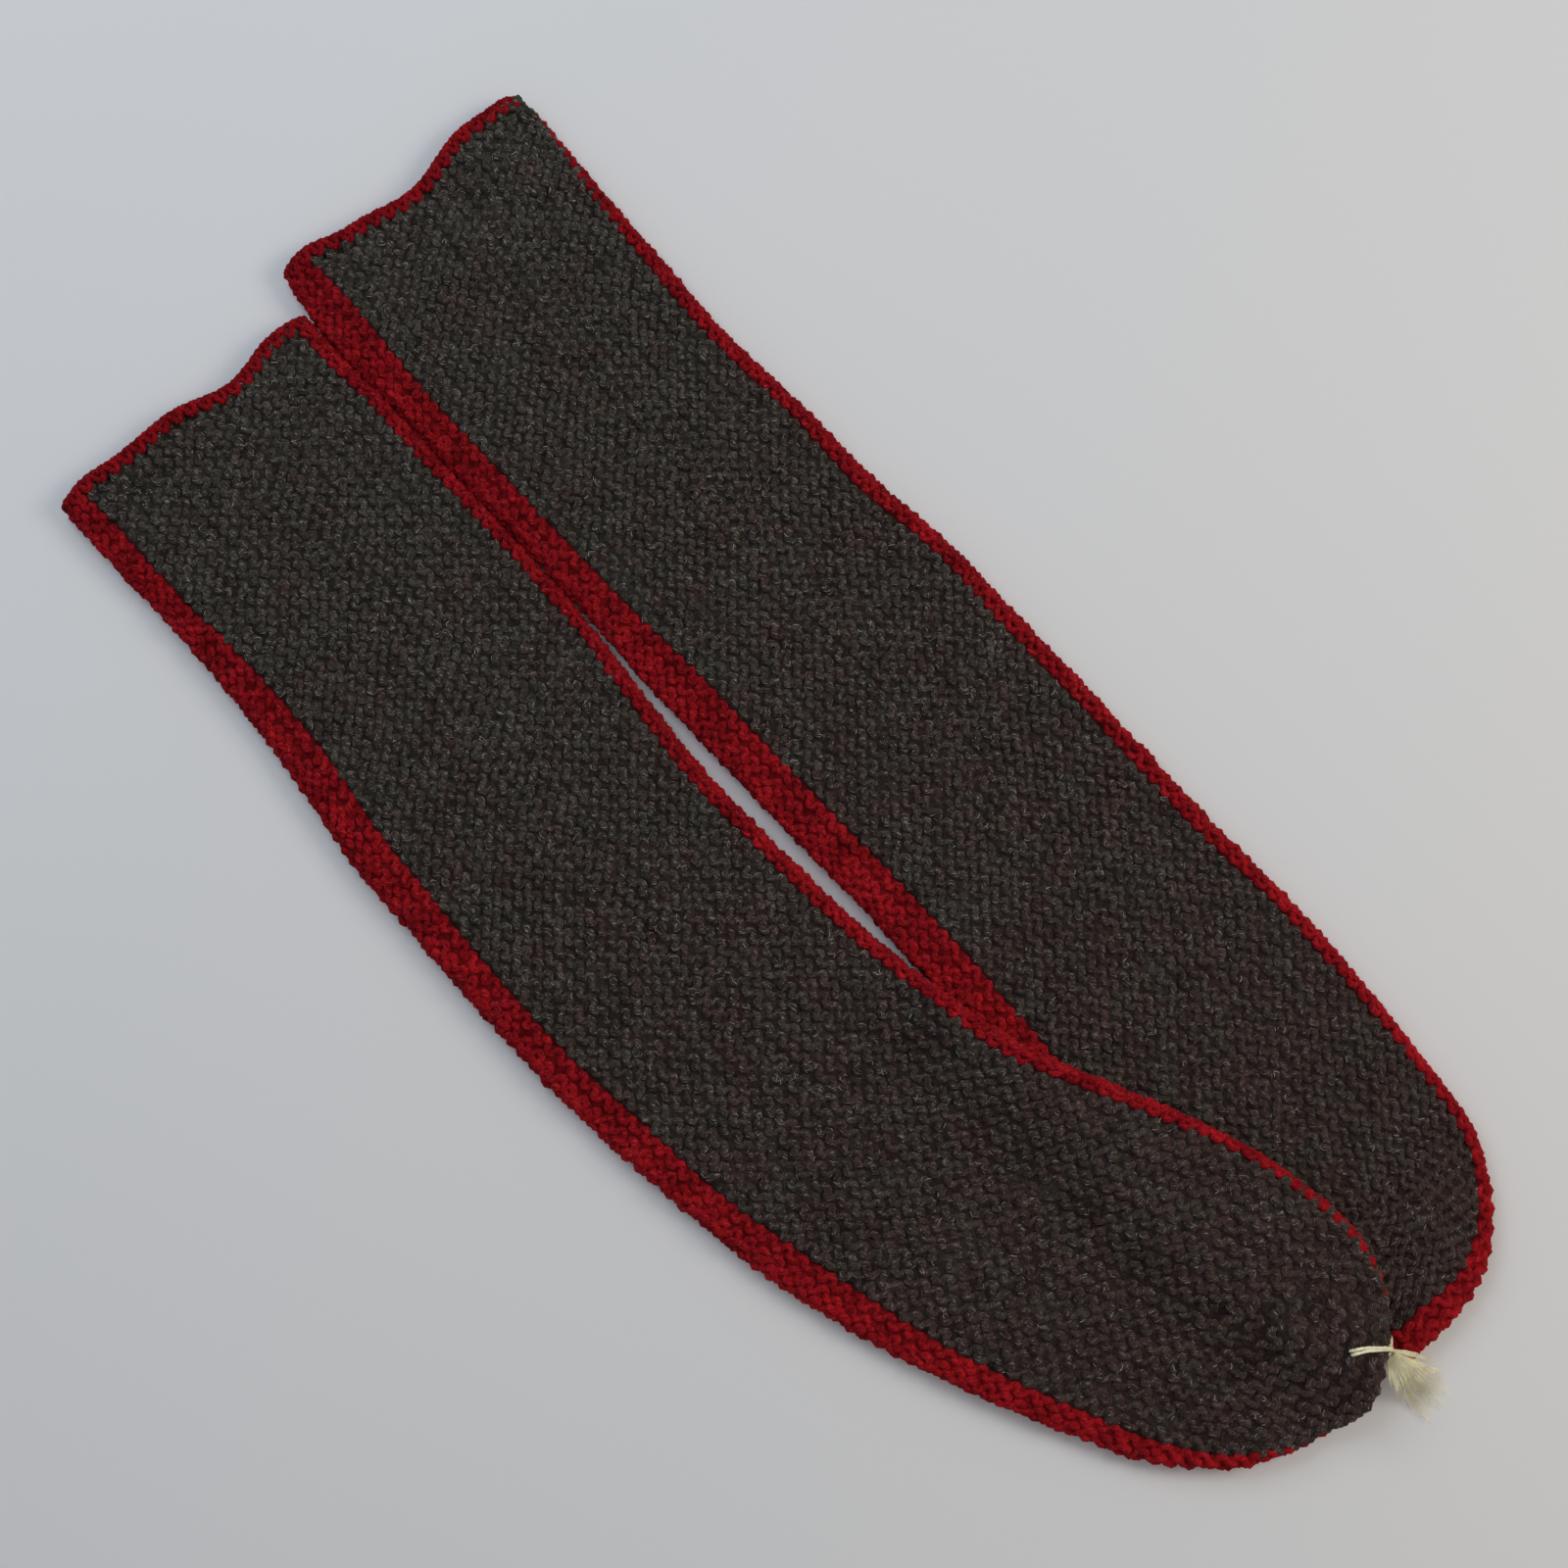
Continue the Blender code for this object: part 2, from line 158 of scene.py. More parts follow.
farLeg = (
    (-222, 11.8, -213.5, 96.5, 8.5, -2.0),
    (-200, 7.3, -204, 97, 12.5, -1.4),
    (-171, 6.25, -174, 93.5, 10, 2.7),
    (-143, 4.55, -145, 90.5, 10, 4.5),
    (-115, 3.15, -117, 87.5, 10, 4.5),
    (-87, 1.35, -88, 87.5, 10.5, 5),
    (-59, -1.0, -60, 86, 12.5, 5.5),
    (-32, -2, -32, 87, 12.5, 5),
    (-5, -3.2, -5, 85.5, 12.5, 5.5),
    (22, -4.0, 22, 84, 12.2, 5.5),
    (48, -5.6, 49, 82, 12.5, 5.5),
    (74, -6.0, 75, 80, 10.4, 5.5),
    (100, -5, 102, 79, 7, 4.5),
    (126, -5, 128, 76.5, 5, 4),
    (151, -5.5, 152, 73, 5, 3),
    (173, -2, 175, 69, 5, 3.5),
)
# angle from +X in degrees, distance of the fold, the back's band
nearToe = (
    (72, 42.7, 0.9),
    (58, 44.3, -0.3),
    (44, 45.3, -1.7),
    (31, 45.3, -2.7),
    (19, 46.5, -2.6),
    (10, 46.8, -2.0),
    (1, 44.5, -1.6),
    (-10, 42.4, -0.7),
    (-22, 41.3, 0.8),
    (-36, 41, 3.0),
    (-54, 41, 4.8),
    (-72, 43.2, 6.5),
)
farToe = (
    (76, 33.4, 3.5),
    (61, 32, 3.8),
    (44, 31.8, 4.2),
    (27, 32.5, 5.5),
    (11, 34.2, 6.5),
    (-3, 35.4, 7.5),
    (-16, 36.8, 8),
    (-27, 39.2, 9),
    (-36, 42.2, 9),
    (-46, 41, 7.5),
    (-60, 37.2, 6),
    (-75, 35.3, 5),
)
# place across the cuff, and how far its edge is drawn inward, millimetres
nearWave = ((0, 0), (0.12, -2), (0.25, -1), (0.44, -1.2), (0.67, 3.5), (0.88, 0), (1, 1.2))
farWave = ((0, 0.8), (0.1, -1), (0.27, 2.3), (0.5, 5.2), (0.79, -0.5), (0.93, 0), (1, 1.4))
# soft troughs of the upper wall: x, y, length, width, heading in degrees, depth, millimetres
nearTroughs = (
    (-150, -38, 90, 22, 8, 0.5),
    (-70, -60, 120, 16, -12, 0.4),
    (30, -45, 80, 20, 14, 0.45),
    (105, -20, 60, 14, 35, 0.4),
)
farTroughs = (
    (-160, 50, 80, 20, -6, 0.5),
    (-90, 30, 70, 14, 16, 0.4),
    (0, 52, 110, 18, -10, 0.45),
    (110, 40, 70, 18, 12, 0.4),
    (191, 20, 34, 18, -38, 1.7),
    (186, 42, 50, 24, -35, -1.0),
)


def ease(value, low, high):
    share = min(max((value - low) / (high - low), 0), 1)
    return share * share * (3 - 2 * share)


def inTable(table, value):
    for (low, first), (high, second) in zip(table, table[1:]):
        if value <= high:
            return first + (second - first) * ease(value, low, high)
    return table[-1][1]


def finerRows(rows, parts):  # Catmull-Rom through each column
    finer = []
    for at in range(len(rows) - 1):
        near = [rows[min(max(at + step, 0), len(rows) - 1)] for step in (-1, 0, 1, 2)]
        for part in range(parts):
            t = part / parts
            finer.append(tuple(
                b + 0.5 * t * (c - a + t * (2 * a - 5 * b + 4 * c - d + t * (3 * (b - c) + d - a)))
                for a, b, c, d in zip(*near)
            ))
    return finer + [rows[-1]]


def depthInside(point, outline):  # positive inside the outline, negative outside
    nearest, inside = math.inf, False
    for start, end in zip(outline, outline[1:] + outline[:1]):
        edge = end - start
        share = min(max((point - start).dot(edge) / edge.length_squared, 0), 1)
        nearest = min(nearest, (point - start - edge * share).length)
        if (start.y > point.y) != (end.y > point.y):
            inside ^= point.x < start.x + (point.y - start.y) / (end.y - start.y) * edge.x
    return nearest if inside else -nearest


class HalfSection:  # from the middle line out to a fold and back underneath

    def __init__(self, middle, fold, band, fromCuff):
        turn = form["height"] / 2
        self.middle = middle
        self.reach = (fold - middle).length
        self.outward = (fold - middle).normalized()
        self.flat = self.reach - turn
        self.seam = self.reach - band
        if band < turn:
            self.seam = self.flat + math.asin(1 - max(band, 0) / turn) * turn - min(band, 0)
        self.under = self.flat + math.pi * turn
        self.girth = self.under + self.flat
        self.fromCuff = fromCuff

    def turned(self, along):  # share of the way round the fold
        return min(max((along - self.flat) / (self.under - self.flat), 0), 1)

    def spot(self, along, depth):
        turn = form["height"] / 2
        if along <= self.flat:
            out, high = along, form["height"] - depth
        elif along >= self.under:
            out, high = self.flat - (along - self.under), depth
        else:
            turned = (along - self.flat) / turn
            out = self.flat + (turn - depth) * math.sin(turned)
            high = turn + (turn - depth) * math.cos(turned)
        return self.middle + self.outward * out, high, out / self.reach


class SockForm:

    def __init__(self, name, leg, toe, wave, troughs, below=None):
        self.name, self.wave, self.troughs, self.below = name, wave, troughs, below
        self.leg = finerRows(leg, form["legParts"])
        self.cuffStep = [Vector(leg[1][at:at + 2]) - Vector(leg[0][at:at + 2]) for at in (0, 2)]
        pairs = [self.pair(0, form["edging"] + form["cuffGap"])]
        pairs += [self.pair(row) for row in range(1, len(self.leg))]
        self.right = [pair[0] for pair in pairs]
        self.left = [pair[1] for pair in reversed(pairs)]
        self.turn = self.toeSections(toe)
        self.halves = self.right + self.turn + self.left

    def toeSections(self, toe):
        first, last = self.right[-1], self.left[0]
        middle = first.middle
        leftBand, rightBand = self.leg[-1][4:]
        ends = []
        for half, band in ((first, rightBand), (last, leftBand)):
            angle = math.degrees(math.atan2(half.outward.y, half.outward.x))
            ends.append((angle, half.reach / mm, band))
        sections = []
        for angle, radius, band in finerRows((ends[0], *toe, ends[1]), form["toeParts"])[1:-1]:
            heading = math.radians(angle)
            rim = middle + Vector((math.cos(heading), math.sin(heading))) * radius * mm
            sections.append(HalfSection(middle, rim, band * mm, math.inf))
        return sections

    def pair(self, number, fromEdge=0):
        row = self.leg[number]
        left, right = Vector(row[0:2]) * mm, Vector(row[2:4]) * mm
        leftBand, rightBand = row[4:]
        if fromEdge:
            left += self.cuffStep[0].normalized() * fromEdge
            right += self.cuffStep[1].normalized() * fromEdge
        shift = (leftBand - rightBand) * mm / 2
        middle = (left + right) / 2 + (right - left).normalized() * shift
        fromCuff = (left - Vector(self.leg[0][0:2]) * mm).length
        return (
            HalfSection(middle, right, rightBand * mm, fromCuff),
            HalfSection(middle, left, leftBand * mm, fromCuff),
        )

    def outline(self):
        return [half.middle + half.outward * half.reach for half in self.halves]

    def place(self, half, along, depth):
        (x, y), high, share = half.spot(along, depth)
        if along < half.reach:
            crown = form["toeCrown"] if self.below else 0
            high += crown * ease(x, *form["crownAlong"]) * (1 - share * share)
            high -= self.trough(x, y) * (1 - share ** form["toFold"])
        if half.fromCuff < form["waveFade"]:
            low, top = self.leg[0][1] * mm, self.leg[0][3] * mm
            across = min(max((y - low) / (top - low), 0), 1)
            x += inTable(self.wave, across) * mm * (1 - ease(half.fromCuff, 0, form["waveFade"]))
        if self.below:
            inside = depthInside(Vector((x, y)), self.below)
            climb = ease(inside, *form["lapRamp"]) * ease(x, *form["lapAlong"])
            high += (form["height"] + form["lapGap"]) * climb
        return Vector((x, y, high))

    def trough(self, x, y):
        deep = 0
        for midX, midY, length, width, heading, depth in self.troughs:
            turned = math.radians(heading)
            offX, offY = x - midX * mm, y - midY * mm
            down = (offX * math.cos(turned) + offY * math.sin(turned)) / (length * mm / 2)
            side = (offY * math.cos(turned) - offX * math.sin(turned)) / (width * mm / 2)
            deep += depth * mm * math.exp(-down * down - side * side)
        return deep


farSock = SockForm("far_sock", farLeg, farToe, farWave, farTroughs)
nearSock = SockForm("near_sock", nearLeg, nearToe, nearWave, nearTroughs, farSock.outline())
print("sections:", len(farSock.halves), "far,", len(nearSock.halves), "near")


# Node helpers

class Wiring:  # a node tree, with short words for its usual nodes

    def __init__(self, tree):
        self.tree = tree

    def fill(self, socket, value):  # joins another socket to it, or gives it a plain value
        if isinstance(value, bpy.types.NodeSocket):
            self.tree.links.new(value, socket)
        elif value is not None:
            socket.default_value = value

    def node(self, kind, *ordered, settings=None, **named):  # settings first, then its sockets
        node = self.tree.nodes.new(kind)
        for name, value in (settings or {}).items():
            setattr(node, name, value)
        for socket, value in zip(node.inputs, ordered):
            self.fill(socket, value)
        for name, value in named.items():
            self.fill(node.inputs[name.replace("_", " ")], value)
        return node.outputs

    def step(self, kind, geometry, **named):  # a node that changes a geometry
        return self.node("GeometryNode" + kind, Geometry=geometry, **named)["Geometry"]

    def math(self, operation, first, second=None):
        return self.node("ShaderNodeMath", first, second, settings={"operation": operation})[0]

    def times(self, first, *others):
        for other in others:
            first = self.math("MULTIPLY", first, other)
        return first

    def plus(self, first, second):
        return self.math("ADD", first, second)

    def minus(self, first, second):
        return self.math("SUBTRACT", first, second)

    def vector(self, operation, *ordered, **named):
        settings = {"operation": operation}
        return self.node("ShaderNodeVectorMath", *ordered, settings=settings, **named)["Vector"]

    def scaled(self, vector, scale):
        return self.vector("SCALE", vector, Scale=scale)

    def combine(self, x, y, z):
        return self.node("ShaderNodeCombineXYZ", x, y, z)[0]

    def split(self, vector):
        return self.node("ShaderNodeSeparateXYZ", vector)

    def noise(self, spot, scale, detail, roughness=0.5):
        return self.node("ShaderNodeTexNoise", Vector=spot, Scale=scale, Detail=detail, Roughness=roughness)

    def swing(self, noise):  # noise as an offset to every side
        return self.vector("SUBTRACT", noise["Color"], (0.5, 0.5, 0.5))

    def spread(self, value, fromLow, fromHigh, low=0.0, high=1.0):
        return self.node("ShaderNodeMapRange", Value=value, From_Min=fromLow, From_Max=fromHigh,
                         To_Min=low, To_Max=high)["Result"]

    def mix(self, share, first, second, blend="MIX"):
        node = self.tree.nodes.new("ShaderNodeMix")
        node.data_type = "RGBA"
        node.blend_type = blend
        for at, value in ((0, share), (6, first), (7, second)):  # the factor and the two colours
            self.fill(node.inputs[at], value)
        return node.outputs[2]

    def toned(self, colour, tone):
        return self.mix(1.0, colour, self.combine(tone, tone, tone), "MULTIPLY")

    def attribute(self, name, kind="FLOAT"):
        return self.node("GeometryNodeInputNamedAttribute", name, settings={"data_type": kind})["Attribute"]

    def capture(self, geometry, kind, name, value):  # keeps a value of the points for later nodes
        node = self.tree.nodes.new("GeometryNodeCaptureAttribute")
        node.capture_items.new(kind, name)
        self.fill(node.inputs["Geometry"], geometry)
        self.fill(node.inputs[name], value)
        return node.outputs["Geometry"], node.outputs[name]


def newGroup(name, kind, inputs, outputs, outputWord):  # inputs: the first value of each, or its kind
    tree = bpy.data.node_groups.new(name, kind)
    for label, value in inputs.items():
        word = value if isinstance(value, str) else type(value).__name__.capitalize()
        socket = tree.interface.new_socket(label, in_out="INPUT", socket_type="NodeSocket" + word)
        if word != value:
            socket.default_value = value
    for label in outputs:
        tree.interface.new_socket(label, in_out="OUTPUT", socket_type="NodeSocket" + outputWord)
    given = tree.nodes.new("NodeGroupInput").outputs
    out = tree.nodes.new("NodeGroupOutput").inputs
    return Wiring(tree), given, out


# The yarn: rows of guide points become looped yarn

yarnSettings = {
    "Guides": "Geometry",
    "Cuts": 3,  # between guide points, which are half a stitch apart
    "Loop Reach": 1.05 * mm,  # how far a loop swings to each side of its ridge
    "Loop Depth": 0.9 * mm,  # from the loops' heads down to their legs
    "Leg Share": 0.3,  # one leg lies above the other by this share of it
    "Lean": 0.2 * mm,  # rounds the loops
    "Yarn Radius": 1.1 * mm,
    "Sides": 6,
    "Sway": 1.6 * mm,  # slow wander of the rows
    "Uneven": 1.9 * mm,  # one stitch against the next
    "Seed": 1.0,
    "Yarn": "Material",
}
yarnNoise = {  # and the yarn's own unevenness
    "stitchStep": 1.3,  # how far one stitch is from the next in the noise
    "rowStep": 5.7,  # and one row from the next
    "swayScale": 55.0,  # of the slow wander, per metre
    "runStep": 0.731,  # metres by which a row's fibres are ahead of the last row's
    "thinnest": 0.75,  # share of the yarn's radius
    "swelling": 0.5,  # and what the noise adds to it
    "lowest": 0.02 * mm,  # yarn lies flat where it meets the floor
}


def yarnTree():
    wires, given, out = newGroup("loopedYarn", "GeometryNodeTree", yarnSettings, ["Yarn Mesh"], "Geometry")
    curve = wires.node("GeometryNodeMeshToCurve", Mesh=given["Guides"])["Curve"]
    curve = wires.node("GeometryNodeSubdivideCurve", Curve=curve, Cuts=given["Cuts"])["Curve"]
    stitches, row, gauge = [wires.attribute(name) for name in ("stitches", "row", "gauge")]
    across, outward = [wires.attribute(name, "FLOAT_VECTOR") for name in ("across", "outward")]
    tangent = wires.node("GeometryNodeInputTangent")[0]
    here = wires.node("GeometryNodeInputPosition")[0]

    # random offsets: two noises that follow the stitches and the place on the sock
    stitchSpot = wires.combine(wires.times(stitches, yarnNoise["stitchStep"]),
                               wires.times(row, yarnNoise["rowStep"]), given["Seed"])
    small = wires.noise(stitchSpot, 1.0, 0.0)
    slowSpot = wires.vector("ADD", here, wires.combine(0.0, 0.0, given["Seed"]))
    slow = wires.noise(slowSpot, yarnNoise["swayScale"], 1.0)
    off = wires.split(wires.vector("ADD", wires.scaled(wires.swing(small), given["Uneven"]),
                                   wires.scaled(wires.swing(slow), given["Sway"])))

    turn = wires.times(stitches, math.tau)
    twice = wires.times(turn, 2.0)
    side = wires.plus(wires.times(wires.math("COSINE", turn), gauge, given["Loop Reach"]), off["X"])
    legs = wires.times(wires.math("SINE", turn), given["Leg Share"])
    heads = wires.times(wires.math("COSINE", twice), wires.minus(1.0, given["Leg Share"]))
    dip = wires.times(wires.minus(wires.plus(legs, heads), 1.0), wires.times(given["Loop Depth"], 0.5))
    raised = wires.minus(dip, wires.math("ABSOLUTE", off["Z"]))
    forward = wires.plus(wires.times(wires.math("SINE", twice), given["Lean"]), off["Y"])
    upAndOn = wires.vector("ADD", wires.scaled(outward, raised), wires.scaled(tangent, forward))
    offset = wires.vector("ADD", wires.scaled(across, side), upAndOn)
    curve = wires.step("SetPosition", curve, Offset=offset)

    run = wires.plus(wires.node("GeometryNodeSplineParameter")["Length"],
                     wires.times(row, yarnNoise["runStep"]))
    curve, run = wires.capture(curve, "FLOAT", "Run", run)
    circle = wires.node("GeometryNodeCurvePrimitiveCircle", Radius=1.0, Resolution=given["Sides"])["Curve"]
    circle, rim = wires.capture(circle, "VECTOR", "Round", here)
    swell = wires.plus(wires.times(small["Fac"], yarnNoise["swelling"]), yarnNoise["thinnest"])
    thick = wires.times(given["Yarn Radius"], wires.times(gauge, swell))
    mesh = wires.node("GeometryNodeCurveToMesh", Curve=curve, Profile_Curve=circle,
                      Scale=thick, Fill_Caps=True)["Mesh"]

    spot, rim = wires.split(here), wires.split(rim)
    high = wires.math("MAXIMUM", spot["Z"], yarnNoise["lowest"])
    mesh = wires.step("SetPosition", mesh, Position=wires.combine(spot["X"], spot["Y"], high))
    mesh = wires.step("StoreNamedAttribute", mesh, settings={"data_type": "FLOAT_VECTOR"},
                      Name="yarnSpace", Value=wires.combine(run, rim["X"], rim["Y"]))
    mesh = wires.step("RealizeInstances", wires.step("SetShadeSmooth", mesh))
    wires.fill(out["Yarn Mesh"], wires.step("SetMaterial", mesh, Material=given["Yarn"]))
    return wires.tree


def growMesh(name, guides, tree, values, drop):  # guides' object through the tree, as a plain mesh
    modifier = guides.modifiers.new("grow", "NODES")
    modifier.node_group = tree
    for item in tree.interface.items_tree:
        if item.item_type == "SOCKET" and item.in_out == "INPUT" and item.name in values:
            modifier[item.identifier] = values[item.name]
    bpy.context.view_layer.update()
    evaluated = guides.evaluated_get(bpy.context.evaluated_depsgraph_get())
    mesh = bpy.data.meshes.new_from_object(evaluated)
    mesh.name = name
    bpy.data.objects.remove(guides, do_unlink=True)
    for label in drop:  # the guides' own values, which the finished piece has no use for
        if label in mesh.attributes:
            mesh.attributes.remove(mesh.attributes[label])
    return placed(name, mesh)


def placed(name, mesh):
    piece = bpy.data.objects.new(name, mesh)
    bpy.context.scene.collection.objects.link(piece)
    return piece


def guideObject(name, rows):  # rows of (place, across, outward, stitches, gauge), one spline each
    mesh = bpy.data.meshes.new(name)
    points = [point for row in rows for point in row]
    edges, start = [], 0
    for row in rows:
        edges += [(start + step, start + step + 1) for step in range(len(row) - 1)]
        start += len(row)
    mesh.from_pydata([point[0] for point in points], edges, [])
    for at, label in ((1, "across"), (2, "outward")):
        layer = mesh.attributes.new(label, "FLOAT_VECTOR", "POINT")
        layer.data.foreach_set("vector", [value for point in points for value in point[at]])
    numbers = [float(number) for number, row in enumerate(rows) for _ in row]
    columns = (("stitches", [point[3] for point in points]), ("gauge", [point[4] for point in points]))
    for label, column in (*columns, ("row", numbers)):
        layer = mesh.attributes.new(label, "FLOAT", "POINT")
        layer.data.foreach_set("value", column)
    return placed(name, mesh)


# Where the rows of stitches lie on a sock

knit = {
    "stitch": 4.3 * mm,  # along a ridge of the leg
    "toeStitch": 4.8 * mm,  # round the toe
    "cuffDraw": 0.08,  # share by which stitches are shorter at the cuff and longer at the toe
    "frontRows": 9,  # ridges on each side of the middle one
    "frontEdge": 0.48,  # pitches from the last ridge to the seam
    "bandPitch": 4.0 * mm,
    "evenPitch": 4.2 * mm,  # the pitch of ridges at which the yarn has its own thickness
    "gaugeRange": (0.86, 1.12),
    "bandRows": 4,  # ridges of the back knitted at an even pitch, from the seam
    "bandEdge": 0.48,  # pitches from the seam to the first of them
    "bandOver": 0.4,  # pitches of the band that may lie underneath
    "backRows": 14,
    "sink": 1.06,  # yarn radii from the cloth's surface to the middle of the yarn
    "foldRise": 0.5,  # so much less at the folds
    "probe": 0.4 * mm,  # between neighbours that show how the skin lies
}


def frontRow(half, number):  # skin length of a ridge and the pitch there
    pitch = (half.seam - form["seamGap"] / 2) / (knit["frontRows"] + knit["frontEdge"])
    return number * pitch, pitch


def backRow(half, number):
    start = half.seam + form["seamGap"] / 2
    pitch = min(knit["bandPitch"], (half.under - start) / (knit["bandRows"] - knit["bandOver"]))
    if number < knit["bandRows"]:
        return start + (number + knit["bandEdge"]) * pitch, pitch
    start += knit["bandRows"] * pitch
    pitch = (half.girth - start) / (knit["backRows"] - knit["bandRows"])
    return start + (number - knit["bandRows"] + 0.5) * pitch, pitch


def guideRow(sock, rule, number, radius):
    spots = []
    for half in sock.halves:
        along, pitch = rule(half, number)
        gauge = min(max(pitch / knit["evenPitch"], knit["gaugeRange"][0]), knit["gaugeRange"][1])
        sink = knit["sink"] - knit["foldRise"] * math.sin(math.pi * half.turned(along))
        beside = [(half, along + step) for step in (0, knit["probe"], -knit["probe"])]
        spots.append(skinSpot(sock, *beside, radius * gauge * sink, gauge))
    legEnd, turnEnd = len(sock.right) - 1, len(sock.right) + len(sock.turn)
    if rule is frontRow and number == 0:
        stretches = [spots[:legEnd + 1]]
    else:
        stretches = [spots[:legEnd + 1], spots[legEnd:turnEnd + 1], spots[turnEnd:]]
    row, count = [], 0
    for order, stretch in enumerate(stretches):
        if order == 1:
            stitches = max(round(spotLengths(stretch)[-1] / knit["toeStitch"]), 1)
        else:
            stitches = sock.legStitches
        row += evenSpots(stretch, stitches, count, (knit["cuffDraw"], 0, -knit["cuffDraw"])[order])
        count += stitches
    return row


def skinSpot(sock, here, ahead, behind, depth, gauge):  # each a half section and a length along it
    place = sock.place(*here, depth)
    across = (sock.place(*ahead, depth) - sock.place(*behind, depth)).normalized()
    outward = sock.place(*here, 0) - sock.place(*here, 2 * depth)
    outward = (outward - across * outward.dot(across)).normalized()
    return place, across, outward, gauge


def spotLengths(stretch):
    lengths = [0]
    for here, there in zip(stretch, stretch[1:]):
        lengths.append(lengths[-1] + (there[0] - here[0]).length)
    return lengths


def evenSpots(stretch, stitches, counted=0, draw=0.0):  # two spots a stitch along the stretch
    lengths = spotLengths(stretch)
    row, at = [], 0
    for step in range(int(counted > 0), 2 * stitches + 1):
        share = step / (2 * stitches)
        target = lengths[-1] * share * (1 - draw * (1 - share))
        while at < len(lengths) - 2 and lengths[at + 1] < target:
            at += 1
        span = lengths[at + 1] - lengths[at]
        share = (target - lengths[at]) / span if span else 0
        here, there = stretch[at], stretch[at + 1]
        mixed = [first + (second - first) * share for first, second in zip(here, there)]
        row.append((mixed[0], mixed[1].normalized(), mixed[2].normalized(), counted + step / 2, mixed[3]))
    return row


for sock in (farSock, nearSock):
    places = [sock.place(half, half.seam, 0) for half in sock.right]
    legLength = sum((there - here).length for here, there in zip(places, places[1:]))
    sock.legStitches = round(legLength / knit["stitch"])
    print(sock.name, "leg stitches", sock.legStitches)


# Wool and thread

greyWool = {
    "tint": (0.049, 0.042, 0.0345, 1),
    "patchTint": (0.053, 0.0315, 0.0285, 1),
    "drift": 0.6,  # more of the patches' tint towards the toe, share for each metre
    "fleck": (0.34, 0.32, 0.29, 1),
    "fleckShare": 0.645,  # noise above this is a pale fibre
    "contrast": 0.55,  # of the fibres
    "patch": 110,  # mottling, per metre
}
redWool = {
    "tint": (0.23, 0.0035, 0.0075, 1),
    "patchTint": (0.33, 0.0075, 0.012, 1),
    # painted light: more of the lighter patch tint towards the toe
    "drift": 0.6,
    "fleck": (0.50, 0.05, 0.06, 1),
    "fleckShare": 0.66,
    "contrast": 0.5,
    "patch": 140,
}
creamCotton = {
    "tint": (0.95, 0.92, 0.66, 1),
    "patchTint": (0.92, 0.87, 0.56, 1),
    "drift": 0.0,
    "fleck": (0.96, 0.95, 0.84, 1),
    "fleckShare": 0.7,
    "contrast": 0.1,
    "patch": 300,
    "tipFade": (0.205, 0.224, 0.85, 0.3),  # along X in metres, and how solid a fibre is there
}
fibre = {
    "twist": 190.0,  # turns of the yarn's plies for each metre
    "plies": 3,
    "length": 900.0,  # fibre noise per metre along the yarn
    "width": 2.4,  # and per radius across it
    "fray": 0.62,  # roughness of that noise
    "fleckScale": 1.5,  # flecks are finer than fibres by this
    "fleckEdge": 0.03,  # how softly they begin, and how much of the wool they cover
    "fleckCover": 0.8,
    "height": 0.32 * mm,  # of the bumps
    "plyRelief": 0.55,  # shares of the height
    "hairRelief": 0.7,
    "plyPaintedShade": 0.5,  # shares of a wool's contrast, the first as painted shade in the grooves between plies
    "grainShade": 0.8,
    "plyGap": 0.45,  # the painted shade between two plies reaches this far up them
    "noiseRange": (0.32, 0.68),  # of fibres and clouds
    "patchRange": (0.38, 0.62),
    "patchFray": 0.7,
    "grain": 1100,  # mottling of single fibres, per metre
    "grainRange": (0.3, 0.7),
    "grainTone": (0.55, 1.45),
    "cloud": 160,  # lighter and darker spots, per metre
    "cloudSwing": 0.27,
    "wornAlong": (0.0, 0.19),  # along X in metres: the wool is felted more and more towards the toe
    "wornSmooth": 0.35,  # share by which the fibres stand out less where it is felted
    "roughness": 0.92,
    "sheenRoughness": 0.5,
    "specular": 0.08,
}
# the inside of the knit is darkened by these shares, as painted shade between the loops
knitInside = {
    "grey": 0.58,  # painted shade: share of the yarn's own brightness that the inside of the knit keeps
    "red": 0.45,
    "worn": 0.66,  # the same share of painted shade towards the toe, where the shade is lighter
    "roughness": 0.95,
    "specular": 0.1,
}


def spunGroup():  # plies and fibres of a spun yarn, from its own coordinates
    inputs = {"Twist": fibre["twist"], "Fibre Length": fibre["length"]}
    wires, given, out = newGroup("spunFibres", "ShaderNodeTree", inputs,
                                 ("Strand", "Fibre", "Fleck", "Height"), "Float")
    yarn = wires.node("ShaderNodeAttribute", settings={"attribute_name": "yarnSpace"})["Vector"]
    run, first, second = wires.split(yarn)
    angle = wires.plus(wires.math("ARCTAN2", second, first), wires.times(run, given["Twist"], math.tau))
    plies = wires.math("ABSOLUTE", wires.math("COSINE", wires.times(angle, fibre["plies"] / 2)))
    around = wires.combine(wires.times(run, given["Fibre Length"]),
                           wires.times(wires.math("COSINE", angle), fibre["width"]),
                           wires.times(wires.math("SINE", angle), fibre["width"]))
    hairs = wires.noise(around, 1.0, 3.0, fibre["fray"])["Fac"]
    wires.fill(out["Strand"], plies)
    wires.fill(out["Fibre"], hairs)
    wires.fill(out["Fleck"], wires.noise(around, fibre["fleckScale"], 1.0)["Fac"])
    wires.fill(out["Height"], wires.plus(wires.times(plies, fibre["plyRelief"]),
                                         wires.times(hairs, fibre["hairRelief"])))
    return wires.tree


